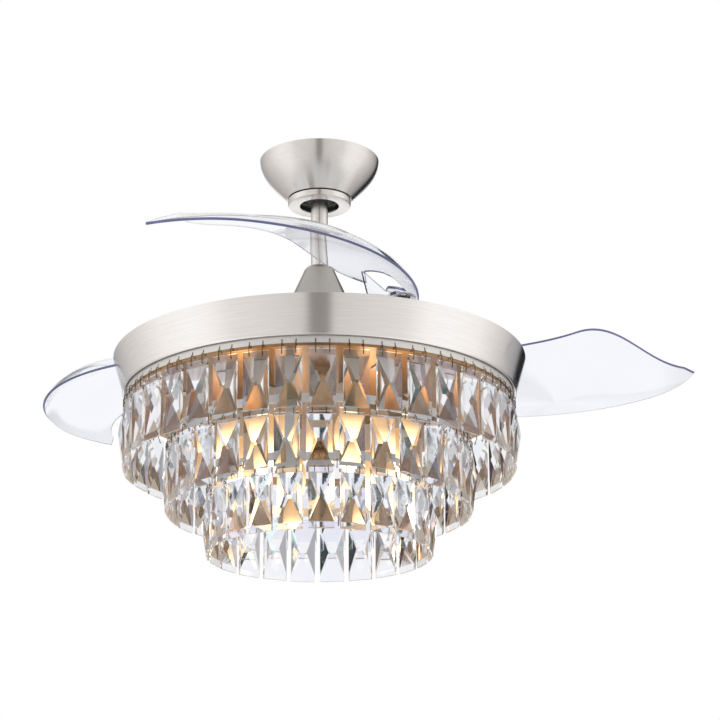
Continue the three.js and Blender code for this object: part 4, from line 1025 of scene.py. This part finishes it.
def bladeMiddle(along, across):
    s = bladeSetting
    point = outerEdge(along).lerp(innerEdge(along), across)
    fade = smoothstep(along, 0, s["archFull"]) * (1 - smoothstep(along, s["archFades"], s["archEnds"]))
    point.z += s["arch"] * fade * math.sin(math.pi * across ** s["archLean"])
    return point


def roundedPolygon(points, radius, steps=5):
    result = []
    corners = [Vector(p) for p in points]
    for i, corner in enumerate(corners):
        start = corner + (corners[i - 1] - corner).normalized() * radius
        end = corner + (corners[(i + 1) % len(corners)] - corner).normalized() * radius
        result += bezierRow([tuple(start), tuple(corner), tuple(end)], steps)
    return result


# The arched sheet between both edges, with the edge's own material on its rim.
def bladeSheet():
    s = bladeSetting
    work = bmesh.new()
    grid = []
    for i in range(s["steps"] + 1):
        along = s["last"] * (i / s["steps"]) ** s["rowSpread"]
        grid.append([work.verts.new(bladeMiddle(along, (j / s["lanes"]) ** s["laneSpread"]) * mm)
                     for j in range(s["lanes"] + 1)])
    for here, there in zip(grid, grid[1:]):
        for j in range(s["lanes"]):
            work.faces.new([here[j], there[j], there[j + 1], here[j + 1]])
    mesh = meshFrom(work, "bladeSheet")
    mesh.transform(Matrix.Translation((0, 0, rim * mm)))
    mesh.materials.append(acrylicSheet)
    mesh.materials.append(acrylicEdge)
    blade = linkObject("bladeDraft", mesh)
    thick = blade.modifiers.new("sheet", "SOLIDIFY")
    thick.thickness = s["thickness"] * mm
    thick.offset = 0
    thick.material_offset_rim = 1
    blade.data = shapedMesh(blade)
    blade.modifiers.clear()
    return blade


# Cuts the open window of the root.
def windowCutter():
    s = bladeSetting
    reach, far, near, edge = s["windowReach"], s["windowFar"], s["windowNear"], s["windowEdge"]
    corners = [(-reach, -far * 0.68), (-reach * 0.81, -far * 0.85), (-reach * 0.54, -far),
               (-reach * 0.27, -far), (-reach * 0.09, -far * 0.83), (near * 0.25, -near * 1.3),
               (-near * 0.33, -near * 1.08), (-near * 0.94, -near * 0.67), (-near * 1.1, edge),
               (-reach * 0.92, edge)]
    outline = roundedPolygon([(s["pivotRadius"] + x, y) for x, y in corners], s["windowCorner"])
    return cutterMesh(outline, -20, 100)


# The upright leg between the window and the inner edge, drawn from the side and turned into place.
def legMesh():
    s = bladeSetting
    leg = cutterMesh(s["legSide"], -rim - s["legWidth"] / 2, -rim + s["legWidth"] / 2)
    leg.transform(Matrix.Rotation(math.pi / 2, 4, "X"))
    corner = Vector((s["pivotRadius"] - s["windowReach"] - s["legSink"], -s["windowFar"] * 0.63, rim)) * mm
    leg.transform(Matrix.Translation(corner) @ Matrix.Rotation(math.radians(s["legTurn"]), 4, "Z"))
    return leg


def makeBlades():
    s = bladeSetting
    pivot, low, high = s["pivotRadius"], s["padBottom"], s["padTop"]
    blade = bladeSheet()
    for tool, operation, material in (         # the cutters reach well past the sheet
            (windowCutter(), "DIFFERENCE", acrylicEdge), (legMesh(), "UNION", acrylicSheet),
            (cutterMesh(disc(s["padRadius"], pivot), low, high), "UNION", acrylicSheet),
            (cutterMesh(disc(s["bore"], pivot, 0, 32), -5, 60), "DIFFERENCE", acrylicSheet),
            (cutterMesh(disc(s["seatBelow"], pivot), -20, low), "DIFFERENCE", acrylicSheet),
            (cutterMesh(disc(s["seatAbove"], pivot), high, 80), "DIFFERENCE", acrylicSheet)):
        tool.materials.append(material)
        booleanWith(blade, tool, operation)
    finished = blade.data
    shadeSmooth(finished, 30)
    bpy.data.objects.remove(blade)
    for i in range(3):
        azimuth = s["pivotAzimuth"] + 120 * i
        centre = Matrix.Translation(Vector((*polar(pivot, azimuth), 0)) * mm)
        turn = Matrix.Rotation(math.radians(azimuth + s["opening"]), 4, "Z")
        mesh = finished.copy()
        mesh.name = f"sickleBlade{i + 1}"
        mesh.transform(centre @ turn @ Matrix.Translation((-pivot * mm, 0, 0)))
        addPiece(mesh.name, mesh, None, "clear_acrylic", [f"blade_{i + 1}"], f"blade_unit_{i + 1}")


makeBlades()
print("blades made")


# finishes of the pieces kept from the frame, a name that ends in _ stands for all its numbered pieces

finishes = {
    zincSteel: ["canopy_screw_", "hanger_pin", "coupling_pin_", "motor_shaft", "bearing_", "drum_screw_",
                "drum_shelf"],
    satinPan: ["pan_nut"],
    # painted light: the sync ring and pivot pins take the lighter zinc plate
    zincPaintedLight: ["sync_ring", "pivot_pin_"],
    castAluminium: ["coupling", "rotor_housing", "rotor_cover"],
    # painted shade: the hanger bracket inside the canopy is dark grey
    paintedShadeGrey: ["hanger_bracket"],
    blackNylon: ["blade_gear_", "receiver_box"],
    copperWinding: ["stator"],
}
for material, names in finishes.items():
    for node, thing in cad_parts.items():
        if any(node == name or (name.endswith("_") and node.startswith(name)) for name in names):
            thing.data.materials.clear()
            thing.data.materials.append(material)
print("frame pieces finished")
